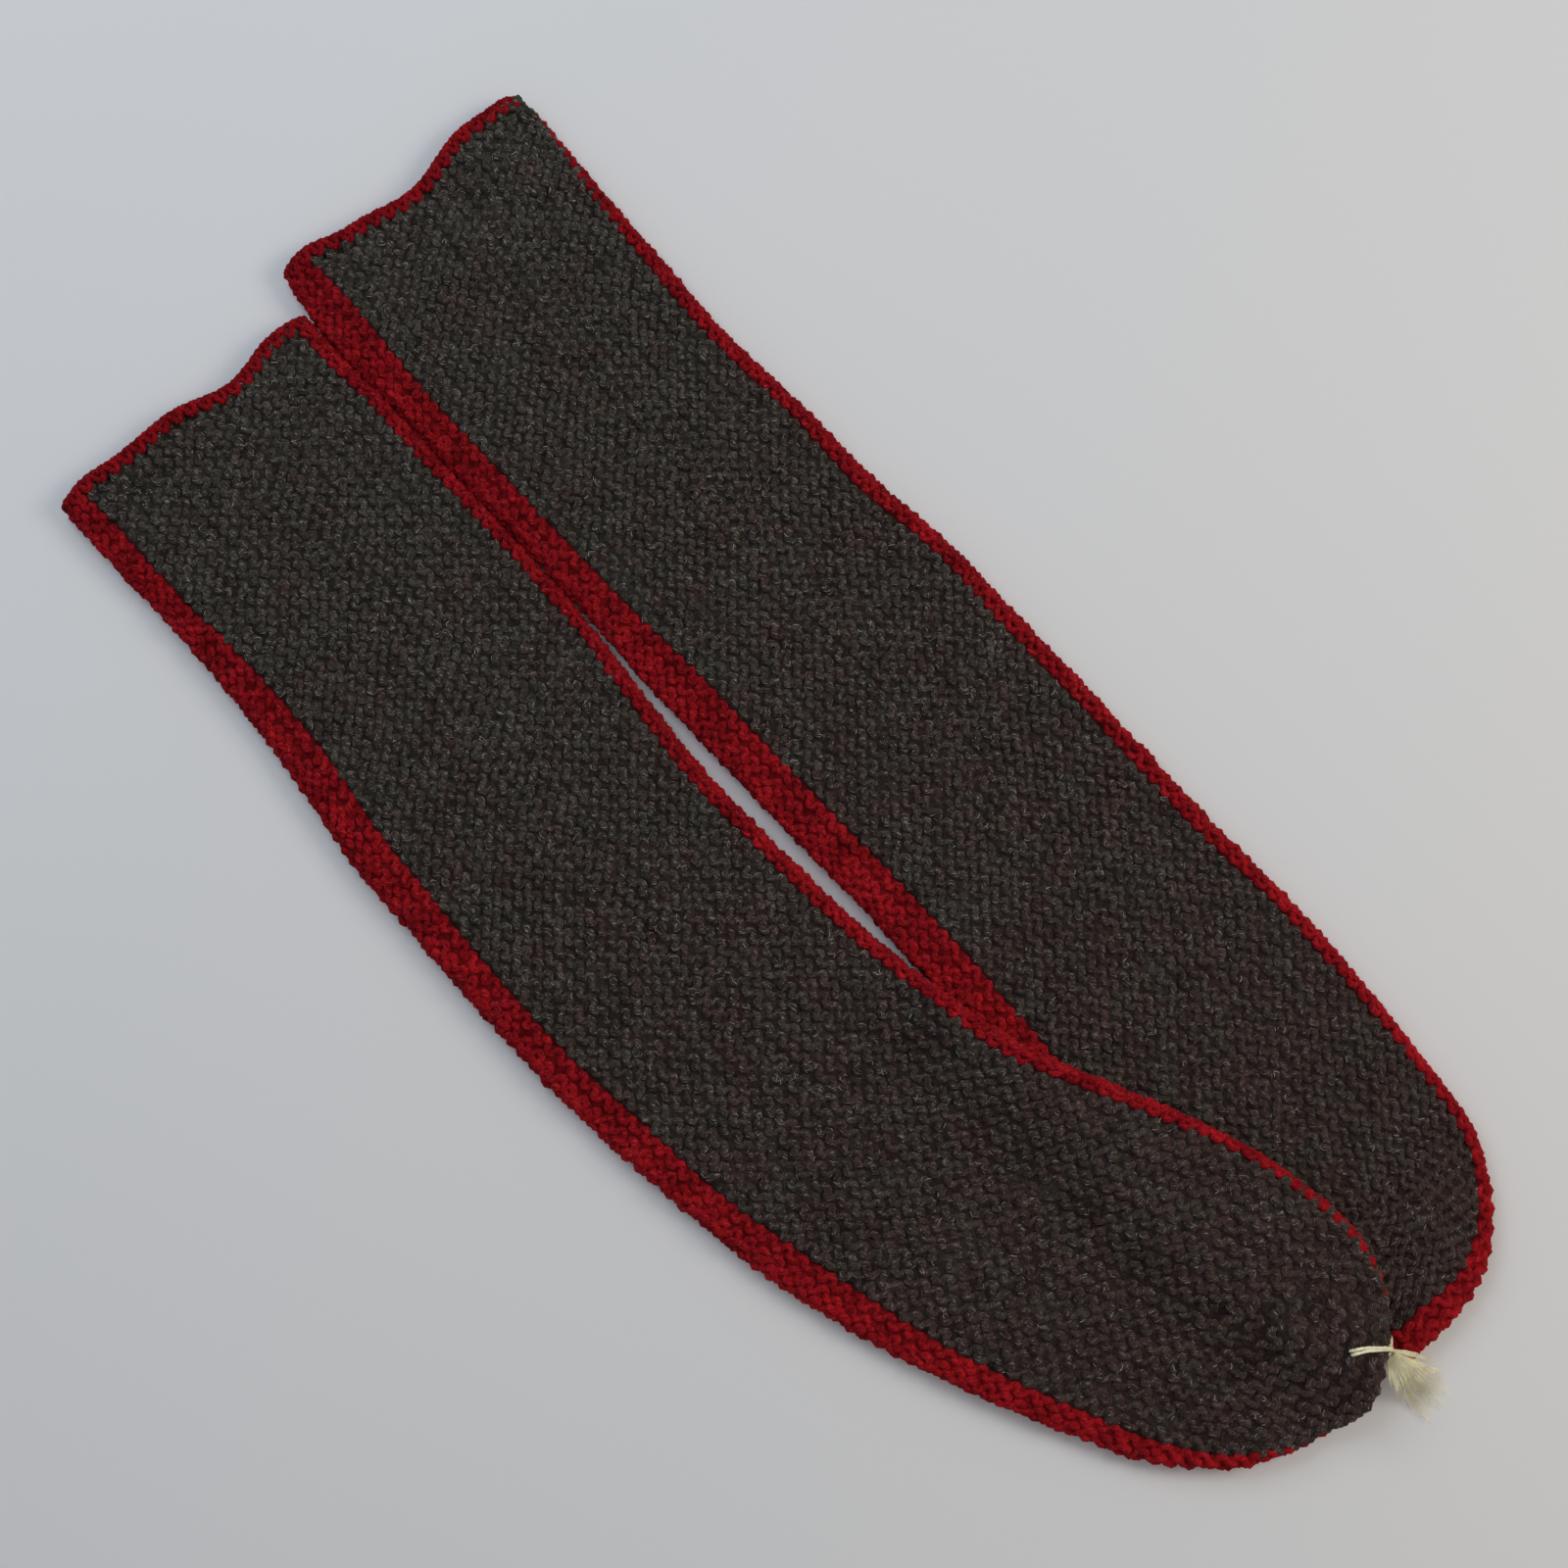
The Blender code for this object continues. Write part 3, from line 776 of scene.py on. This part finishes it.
def mottleGroup():  # uneven dye of the fleece, on object coordinates, with its tint drifting towards the toe: painted light on the red wool, browner and darker on the grey
    inputs = {"Patches": 100.0, "Drift": 0.0}
    wires, given, out = newGroup("fleeceMottle", "ShaderNodeTree", inputs,
                                 ("Mix", "Cloud", "Grain", "Worn"), "Float")
    spot = wires.node("ShaderNodeTexCoord")["Object"]
    along = wires.split(spot)["X"]
    patches = wires.noise(spot, given["Patches"], 4.0, fibre["patchFray"])["Fac"]
    clouds = wires.noise(spot, fibre["cloud"], 2.0)["Fac"]
    grains = wires.noise(spot, fibre["grain"], 2.0)["Fac"]
    swing = fibre["cloudSwing"]
    drifted = wires.plus(patches, wires.times(along, given["Drift"]))
    wires.fill(out["Mix"], wires.spread(drifted, *fibre["patchRange"]))
    wires.fill(out["Cloud"], wires.spread(clouds, *fibre["noiseRange"], 1 - swing, 1 + swing))
    wires.fill(out["Grain"], wires.spread(grains, *fibre["grainRange"], *fibre["grainTone"]))
    wires.fill(out["Worn"], wires.spread(along, *fibre["wornAlong"]))
    return wires.tree


def newMaterial(name, **values):  # plain values by the names of the shader's sockets
    material = bpy.data.materials.new(name)
    material.use_nodes = True
    shader = material.node_tree.nodes["Principled BSDF"].inputs
    for label, value in values.items():
        shader[label.replace("_", " ")].default_value = value
    return material, Wiring(material.node_tree), shader


def fleece(wires, look):  # a wool's colour, and the masks of its mottling
    mottle = wires.node("ShaderNodeGroup", settings={"node_tree": fleeceMottle},
                        Patches=look["patch"], Drift=look["drift"])
    return mottle, wires.mix(mottle["Mix"], look["tint"], look["patchTint"])


def bumpUp(wires, shader, height, relief=None):
    bump = wires.node("ShaderNodeBump", Strength=relief, Distance=fibre["height"], Height=height)
    wires.fill(shader["Normal"], bump["Normal"])


def yarnMaterial(name, look, sheen=0.12, relief=0.8):
    material, wires, shader = newMaterial(
        name, Roughness=fibre["roughness"], Sheen_Weight=sheen, Sheen_Roughness=fibre["sheenRoughness"],
        Sheen_Tint=look["fleck"], Specular_IOR_Level=fibre["specular"],
    )
    spun = wires.node("ShaderNodeGroup", settings={"node_tree": spunFibres})
    mottle, base = fleece(wires, look)
    swing = look["contrast"]
    hairs = wires.spread(spun["Fibre"], *fibre["noiseRange"], 1 - swing, 1 + swing)
    # painted shade: darker where one ply meets the next
    plies = wires.spread(spun["Strand"], 0.0, fibre["plyGap"], 1 - fibre["plyPaintedShade"] * swing, 1.0)
    grains = wires.spread(mottle["Grain"], *fibre["grainTone"],
                          1 - fibre["grainShade"] * swing, 1 + fibre["grainShade"] * swing)
    worn = wires.times(mottle["Worn"], fibre["wornSmooth"])
    crisp = wires.minus(1.0, worn)
    tone = wires.plus(wires.times(hairs, plies, grains, crisp), worn)
    base = wires.toned(base, wires.times(tone, mottle["Cloud"]))
    share = look["fleckShare"]
    flecks = wires.spread(spun["Fleck"], share, share + fibre["fleckEdge"], 0.0, fibre["fleckCover"])
    wires.fill(shader["Base Color"], wires.mix(wires.times(flecks, crisp), base, look["fleck"]))
    bumpUp(wires, shader, spun["Height"], relief)
    return material


def clothMaterial(name, look, shade):  # the inside of the knit, seen between the loops, darkened as painted shade of the gaps
    material, wires, shader = newMaterial(name, Roughness=knitInside["roughness"],
                                          Specular_IOR_Level=knitInside["specular"])
    mottle, base = fleece(wires, look)
    # painted shade of the gaps between the loops, lighter towards the toe
    tone = wires.plus(wires.times(mottle["Worn"], knitInside["worn"] - shade), shade)
    tone = wires.times(tone, wires.times(mottle["Grain"], mottle["Cloud"]))
    wires.fill(shader["Base Color"], wires.toned(base, tone))
    bumpUp(wires, shader, mottle["Grain"])
    return material


def fadeAtTips(material):  # the frayed ends thin out away from the knot
    wires = Wiring(material.node_tree)
    along = wires.split(wires.node("ShaderNodeTexCoord")["Object"])["X"]
    shader = wires.tree.nodes["Principled BSDF"].inputs
    wires.fill(shader["Alpha"], wires.spread(along, *creamCotton["tipFade"]))


spunFibres = spunGroup()
fleeceMottle = mottleGroup()
greyYarn = yarnMaterial("greyBrownYarn", greyWool)
redYarn = yarnMaterial("redYarn", redWool)
greyShadedCloth = clothMaterial("greyBrownKnitInsidePaintedShade", greyWool, knitInside["grey"])
redShadedCloth = clothMaterial("redKnitInsidePaintedShade", redWool, knitInside["red"])
creamThread = yarnMaterial("creamCottonThread", creamCotton, sheen=0.1, relief=0.5)
creamFibre = yarnMaterial("creamCottonFibre", creamCotton, sheen=0.3, relief=0.05)
fadeAtTips(creamFibre)
print("wool and thread mixed")


# Panels: a thin knitted ground, and the ridges of yarn on it

ground = {
    "depth": 1.6 * mm,  # its outside, below the crests of the yarn
    "foldRise": 0.45,  # share by which it is less deep at the folds
    "frontSteps": 12,
    "backSteps": 20,
    "weld": 0.01 * mm,
}


def groundPanel(name, sock, startOf, endOf, steps, material):
    mesh = bmesh.new()
    rings = []
    for half in sock.halves:
        low, high = startOf(half), endOf(half)
        alongs = [low + (high - low) * step / steps for step in range(steps + 1)]
        ring = []
        for along in alongs:
            depth = ground["depth"] * (1 - ground["foldRise"] * math.sin(math.pi * half.turned(along)))
            ring.append(mesh.verts.new(sock.place(half, along, depth)))
        ring += [mesh.verts.new(sock.place(half, along, form["wall"])) for along in reversed(alongs)]
        rings.append(ring)
    joinRings(mesh, rings)
    for ring in (rings[0], rings[-1]):
        for step in range(steps):
            mesh.faces.new((ring[step], ring[step + 1], ring[-2 - step], ring[-1 - step]))
    # welds both sides of the leg; their two end walls become one, hidden inside the cloth
    bmesh.ops.remove_doubles(mesh, verts=mesh.verts, dist=ground["weld"])
    return meshPiece(name, mesh, material)


def joinRings(mesh, rings):  # a closed tube through rings of corners
    for here, there in zip(rings, rings[1:]):
        for corner in zip(here, here[1:] + here[:1], there[1:] + there[:1], there):
            mesh.faces.new(corner)


def meshPiece(name, mesh, material):
    bmesh.ops.recalc_face_normals(mesh, faces=mesh.faces)
    data = bpy.data.meshes.new(name)
    mesh.to_mesh(data)
    mesh.free()
    data.materials.append(material)
    data.polygons.foreach_set("use_smooth", [True] * len(data.polygons))
    return placed(name, data)


def surfaceArea(piece):
    return sum(polygon.area for polygon in piece.data.polygons)


frontYarn = {"Cuts": 3, "Sides": 6, "Loop Reach": 1.2 * mm, "Yarn Radius": 1.25 * mm, "Seed": 3.0}
bandYarn = {"Cuts": 3, "Sides": 6, "Loop Reach": 1.2 * mm, "Yarn Radius": 1.23 * mm, "Seed": 11.0}
underYarn = {"Cuts": 2, "Sides": 4, "Loop Reach": 1.3 * mm, "Yarn Radius": 1.28 * mm, "Seed": 17.0,
             "Uneven": 0.8 * mm}


def knitRows(name, sock, rule, numbers, values, material):
    rows = [guideRow(sock, rule, number, values["Yarn Radius"]) for number in numbers]
    return growYarn(name, rows, values, material)


def growYarn(name, rows, values, material):
    guides = guideObject(name + "_guides", rows)
    return growMesh(name, guides, loopedYarn, {**values, "Yarn": material},
                    ("across", "outward", "stitches", "gauge", "row"))


loopedYarn = yarnTree()
front, back, frontRidges, bandRidges, underRidges = {}, {}, {}, {}, {}
for sock in (farSock, nearSock):
    name = sock.name
    front[name] = groundPanel(name + "_front_ground", sock, lambda half: 0.0,
                              lambda half: half.seam - form["seamGap"] / 2, ground["frontSteps"], greyShadedCloth)
    back[name] = groundPanel(name + "_back_ground", sock, lambda half: half.seam + form["seamGap"] / 2,
                             lambda half: half.girth, ground["backSteps"], redShadedCloth)
    frontRidges[name] = knitRows(name + "_front_ridges", sock, frontRow, range(knit["frontRows"] + 1),
                                 frontYarn, greyYarn)
    bandRidges[name] = knitRows(name + "_band_ridges", sock, backRow, range(knit["bandRows"]),
                                bandYarn, redYarn)
    underRidges[name] = knitRows(name + "_under_ridges", sock, backRow,
                                 range(knit["bandRows"], knit["backRows"]), underYarn, redYarn)
    for kind in (front, back, frontRidges, bandRidges, underRidges):
        faces, area = len(kind[name].data.polygons), round(surfaceArea(kind[name]), 4)
        print(kind[name].name, faces, "faces", area, "m2")


# Cuff edging: a base ring, a row of teeth that bite into the grey, and two rows over the rim

edging = {
    "baseDepth": 0.75 * mm,  # how far the ring lies inside the yarn's surface
    "baseRound": 0.5 * mm,  # its cut corners, and how far in its inner face starts
    "baseInner": 0.6 * mm,
    "ringSteps": 48,  # round each half of the cuff
    "stitch": 4.5 * mm,
    "flatShare": 0.36,  # of the steps, on each flat side
    # from the cuff's edge, loop reach, yarn radius, depth in radii, stitches a stitch, cuts, seed
    "rows": (
        (2.6 * mm, 1.6 * mm, 1.0 * mm, 0.8, 1, 3, 5.0),
        (1.15 * mm, 0.12 * mm, 1.15 * mm, 0.95, 2, 2, 7.0),
        (1.1 * mm, 0.12 * mm, 1.1 * mm, 1.9, 2, 2, 9.0),
    ),
    "yarn": {"Loop Depth": 0.35 * mm, "Sway": 0.3 * mm, "Uneven": 0.3 * mm},
}


def ringSpots(sock, fromEdge):  # half sections and skin lengths right round the cuff
    spots = []
    steps, edge = edging["ringSteps"], edging["flatShare"]
    right, left = sock.pair(0, fromEdge)
    for half, order in ((right, range(steps + 1)), (left, range(steps - 1, -1, -1))):
        flat = half.flat
        for step in order:
            share = step / steps
            if share <= edge:
                along = flat * share / edge
            elif share >= 1 - edge:
                along = half.girth - flat * (1 - share) / edge
            else:
                along = flat + (half.under - flat) * (share - edge) / (1 - 2 * edge)
            spots.append((half, along))
    return spots


def edgingBase(name, sock, material):
    low, high, cut = edging["baseDepth"], form["wall"], edging["baseRound"]
    profile = (
        (low + cut, low), (form["edging"], low), (form["edging"], high),
        (low + edging["baseInner"], high), (low, high - cut), (low, low + cut),
    )
    skins = [ringSpots(sock, fromEdge) for fromEdge, depth in profile]
    mesh = bmesh.new()
    rings = []
    for step in range(2 * edging["ringSteps"]):
        corners = [sock.place(*skin[step], depth) for skin, (fromEdge, depth) in zip(skins, profile)]
        rings.append([mesh.verts.new(corner) for corner in corners])
    joinRings(mesh, rings + rings[:1])
    return meshPiece(name, mesh, material)


def edgingRow(sock, fromEdge, radius, depthShare, times):
    rings = [ringSpots(sock, fromEdge + step) for step in (0, knit["probe"], -knit["probe"])]
    spots = [skinSpot(sock, *beside, radius * depthShare, 1.0) for beside in zip(*rings)]
    spots.append(spots[0])
    return evenSpots(spots, round(spotLengths(spots)[-1] / edging["stitch"]) * times)


cuffBase, cuffRows = {}, {}
for sock in (farSock, nearSock):
    name = sock.name
    cuffBase[name] = edgingBase(name + "_cuff_base", sock, redShadedCloth)
    cuffRows[name] = []
    for number, (fromEdge, reach, radius, depthShare, times, cuts, seed) in enumerate(edging["rows"], 1):
        values = {"Cuts": cuts, "Loop Reach": reach, "Yarn Radius": radius, "Seed": seed, **edging["yarn"]}
        row = edgingRow(sock, fromEdge, radius, depthShare, times)
        cuffRows[name].append(growYarn(f"{name}_cuff_row_{number}", [row], values, redYarn))
print("cuff edging knitted")


# The tie at the toes: a stitch of cotton thread, its knot and frayed ends

tie = {
    "knot": (200.9, 7.6, 8.7),  # millimetres, as are the points below
    "knotRadius": 1.45,
    "knotSpread": 0.72,  # of its lobes, in knot radii
    "knotHeight": 0.62,
    "knotSwell": 0.62,  # how far the lobes swing in and out
    "knotSteps": 30,
    "cord": 0.44,  # radius of a thread
    "cordParts": 4,
    "fibre": 0.085,  # radius of a frayed fibre
    "fibreTaper": (1.5, 0.8),  # of that at the knot, and how much is gone at the tip
    "fibresEach": 7,
    "strandSteps": 8,
    "strandBow": 0.6,  # shares of a strand's bend: in its middle, and at its tip
    "strandHook": 0.5,
    "strandRoot": 0.4,  # below the knot's middle
    "falls": (208, 217),  # X where the strands start to come down, and lie
    # how far single fibres stray: degrees, share of the length, tip and bend
    "stray": ((-3.6, 3.6), (0.8, 1.04), (0, 0.5), (-0.8, 0.8)),
    "guideStep": 0.6,  # stitches between two points, for the noise alone
    "seed": 21,
}
tieCords = (  # up over the near toe's rim and into its knit, as two threads
    ((200.7, 7.8, 8.6), (200.6, 8.3, 11.0), (199.2, 7.6, 13.6), (196.7, 5.5, 15.2),
     (194.2, 3.0, 15.6), (192.7, 0.7, 15.3), (192.5, 0.0, 13.9)),
    ((201.3, 7.6, 8.4), (201.0, 8.1, 10.9), (199.6, 7.4, 13.4), (197.2, 5.2, 15.0),
     (194.9, 2.6, 15.4), (193.6, 0.3, 15.1), (193.5, -0.4, 13.7)),
    # the small loop that stands up beside the knot
    ((200.7, 7.1, 8.4), (199.8, 8.1, 9.6), (198.5, 9.1, 10.8), (197.9, 10.0, 10.6),
     (198.6, 10.5, 9.6), (199.8, 9.7, 8.9), (201.4, 8.0, 8.2)),
)
# heading in degrees from +X, length, height of the tip, bend to the left
tieStrands = (
    (-41, 9.0, 3.0, -0.6), (-35, 10.5, 2.4, -0.8), (-29, 12.5, 1.5, -1.0), (-23, 15.0, 0.6, -1.2),
    (-18, 18.0, 0.5, -0.6), (-14, 20.5, 0.5, 0.4), (-10, 23.0, 0.5, -0.5), (-6, 21.5, 0.6, 0.8),
    (-1, 22.5, 0.5, 0.6), (4, 21.8, 0.5, -0.6), (10, 21.4, 0.5, 1.0), (16, 18.5, 0.6, 0.8),
    (21, 17.8, 0.7, -0.6), (27, 13.5, 1.5, 0.8), (35, 8.5, 2.4, 0.6),
)


def threadRow(points, sizes):  # guide points for a plain thread; its radius in millimetres is the gauge
    places = [Vector(point) * mm for point in points]
    spots = []
    for at, (place, size) in enumerate(zip(places, sizes)):
        ahead = (places[min(at + 1, len(places) - 1)] - places[max(at - 1, 0)]).normalized()
        across = ahead.cross(Vector((0, 0, 1)))
        across = across.normalized() if across.length > 0.01 else Vector((1, 0, 0))
        spots.append((place, across, ahead.cross(across) * -1, tie["guideStep"] * at, size))
    return spots


def knotPoints():  # a trefoil, pulled small
    wide, tall = tie["knotRadius"] * tie["knotSpread"], tie["knotRadius"] * tie["knotHeight"]
    x, y, z = tie["knot"]
    points = []
    for step in range(tie["knotSteps"] + 1):
        turn = math.tau * step / tie["knotSteps"]
        out = wide * (tie["knotSwell"] * math.cos(3 * turn) + 1.0)
        plan = x + out * math.cos(2 * turn), y + out * math.sin(2 * turn)
        points.append((*plan, z + tall * math.sin(3 * turn)))
    return points


def strandPoints(heading, length, tip, bend):
    turned = math.radians(heading)
    ahead = Vector((math.cos(turned), math.sin(turned)))
    side = Vector((-ahead.y, ahead.x))
    points = []
    for step in range(tie["strandSteps"] + 1):
        share = step / tie["strandSteps"]
        bow = bend * math.sin(math.pi * share) * tie["strandBow"]
        plan = Vector(tie["knot"][0:2]) + ahead * length * share
        plan += side * (bow + bend * tie["strandHook"] * share * share)
        fall = ease(plan.x, *tie["falls"])
        high = (tie["knot"][2] - tie["strandRoot"]) * (1 - fall) + tip * fall
        points.append((plan.x, plan.y, high))
    return points


def cordRows():
    paths = [finerRows(points, tie["cordParts"]) for points in tieCords] + [knotPoints()]
    return [threadRow(path, [tie["cord"]] * len(path)) for path in paths]


def strandRows():
    rows = []
    dice = random.Random(tie["seed"])
    thick, gone = tie["fibreTaper"]
    steps = tie["strandSteps"]
    sizes = [tie["fibre"] * (thick - gone * at / steps) for at in range(steps + 1)]
    for heading, length, tip, bend in tieStrands:
        for _ in range(tie["fibresEach"]):
            turned, longer, higher, bent = [dice.uniform(*limits) for limits in tie["stray"]]
            points = strandPoints(heading + turned, length * longer, tip + higher, bend + bent)
            rows.append(threadRow(points, sizes))
    return rows


tieValues = {"Cuts": 1, "Sides": 5, "Loop Reach": 0.0, "Loop Depth": 0.0, "Lean": 0.0,
             "Yarn Radius": 1.0 * mm, "Sway": 0.3 * mm, "Uneven": 0.25 * mm, "Seed": 31.0}
toeTie = growYarn("toe_tie_thread", cordRows(), tieValues, creamThread)
tieEnds = growYarn("toe_tie_ends", strandRows(), tieValues, creamFibre)
print("tie", len(toeTie.data.polygons), "and", len(tieEnds.data.polygons), "faces")


# Stray fibres on the wool

fuzz = {
    "Yarn Mesh": "Geometry",
    "Density": 60000.0,  # fibres a square metre of yarn
    "Fibre Length": 1.15 * mm,
    "Fibre Radius": 0.075 * mm,
    "Curl": 0.4 * mm,
    "Seed": 1,
    "Fibre": "Material",
}
hair = {
    "facing": 0.55,  # fibres grow only where the yarn faces up more than this
    "arch": 0.12 * mm,
    "tilt": 0.3,  # radians, to each side
    "sizes": (0.55, 1.5),
    "curlScale": 700.0,  # noise, per metre
    "mixScale": 260.0,  # of pale and dark fibres, per metre
    "mixRange": (0.35, 0.65),
    "roughness": 0.6,
    "specular": 0.4,
    # the lightest and the darkest fibre of each wool
    "greyTones": ((0.55, 0.52, 0.47, 1), (0.16, 0.145, 0.13, 1)),
    "redTones": ((0.55, 0.09, 0.10, 1), (0.30, 0.015, 0.02, 1)),
    "redSeed": 10,  # the red wool's seeds follow the grey wool's by this
    "redYarn": {"Density": 30000.0, "Fibre Radius": 0.06 * mm},  # fewer and finer ones
}


def fuzzTree():
    wires, given, out = newGroup("strayFibres", "GeometryNodeTree", fuzz, ["Fibres"], "Geometry")
    up = wires.split(wires.node("GeometryNodeInputNormal")[0])["Z"]
    scatter = wires.node(
        "GeometryNodeDistributePointsOnFaces", Mesh=given["Yarn Mesh"], Density=given["Density"],
        Seed=given["Seed"], Selection=wires.math("GREATER_THAN", up, hair["facing"]),
    )
    half = wires.times(given["Fibre Length"], 0.5)
    path = wires.node(
        "GeometryNodeCurveQuadraticBezier", Resolution=3,
        Start=wires.combine(wires.times(half, -1.0), 0.0, 0.0),
        Middle=wires.combine(0.0, wires.times(half, 0.5), hair["arch"]),
        End=wires.combine(half, 0.0, hair["arch"]),
    )["Curve"]
    tilt = hair["tilt"]
    spin = wires.node("FunctionNodeRandomValue", settings={"data_type": "FLOAT_VECTOR"},
                      Min=(-tilt, -tilt, 0.0), Max=(tilt, tilt, math.tau), Seed=given["Seed"])["Value"]
    spin = wires.node("FunctionNodeEulerToRotation", spin)[0]
    turned = wires.node("FunctionNodeRotateRotation", scatter["Rotation"], spin,
                        settings={"rotation_space": "LOCAL"})[0]
    size = wires.node("FunctionNodeRandomValue", None, None, *hair["sizes"], settings={"data_type": "FLOAT"},
                      Seed=given["Seed"])[1]  # its third and fourth sockets are the float's limits
    fibres = wires.node("GeometryNodeInstanceOnPoints", Points=scatter["Points"], Instance=path,
                        Rotation=turned, Scale=size)["Instances"]
    fibres = wires.step("RealizeInstances", fibres)
    noise = wires.noise(wires.node("GeometryNodeInputPosition")[0], hair["curlScale"], 0.0)
    fibres = wires.step("SetPosition", fibres, Offset=wires.scaled(wires.swing(noise), given["Curl"]))
    ring = wires.node("GeometryNodeCurvePrimitiveCircle", Resolution=3, Radius=given["Fibre Radius"])["Curve"]
    mesh = wires.node("GeometryNodeCurveToMesh", Curve=fibres, Profile_Curve=ring, Fill_Caps=True)["Mesh"]
    wires.fill(out["Fibres"], wires.step("SetMaterial", mesh, Material=given["Fibre"]))
    return wires.tree


def fibreMaterial(name, pale, dark):
    material, wires, shader = newMaterial(name, Roughness=hair["roughness"],
                                          Specular_IOR_Level=hair["specular"])
    noise = wires.noise(wires.node("ShaderNodeTexCoord")["Object"], hair["mixScale"], 0.0)["Fac"]
    wires.fill(shader["Base Color"], wires.mix(wires.spread(noise, *hair["mixRange"]), dark, pale))
    return material


strayFibres = fuzzTree()
paleFibre = fibreMaterial("paleWoolFibre", *hair["greyTones"])
redFibre = fibreMaterial("redWoolFibre", *hair["redTones"])


def growFibres(name, source, values):
    carrier = placed(name + "_carrier", source.data.copy())
    return growMesh(name, carrier, strayFibres, values, ["yarnSpace"])


greyFuzz, redFuzz = {}, {}
for seed, sock in enumerate((farSock, nearSock), 1):
    name = sock.name
    greyFuzz[name] = growFibres(name + "_front_fibres", frontRidges[name], {"Seed": seed, "Fibre": paleFibre})
    redFuzz[name] = growFibres(name + "_band_fibres", bandRidges[name],
                               {"Seed": seed + hair["redSeed"], "Fibre": redFibre, **hair["redYarn"]})
    print(name, "fibres", len(greyFuzz[name].data.polygons), len(redFuzz[name].data.polygons), "faces")


# What each piece moves with, once the frame's own parts are hidden

for sock in (farSock, nearSock):
    name = sock.name
    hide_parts(name + "_front")
    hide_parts(name + "_back")
    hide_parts(name + "_cuff_edging")
    slots = (
        ("front", (front[name], frontRidges[name], greyFuzz[name])),
        ("back", (back[name], bandRidges[name], underRidges[name], redFuzz[name])),
        ("cuff_edging", (cuffBase[name], *cuffRows[name])),
    )
    for slot, group in slots:
        for piece in group:
            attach(piece, "root")
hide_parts("toe_tie")
for piece in (toeTie, tieEnds):
    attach(piece, "root")

bpy.context.view_layer.update()
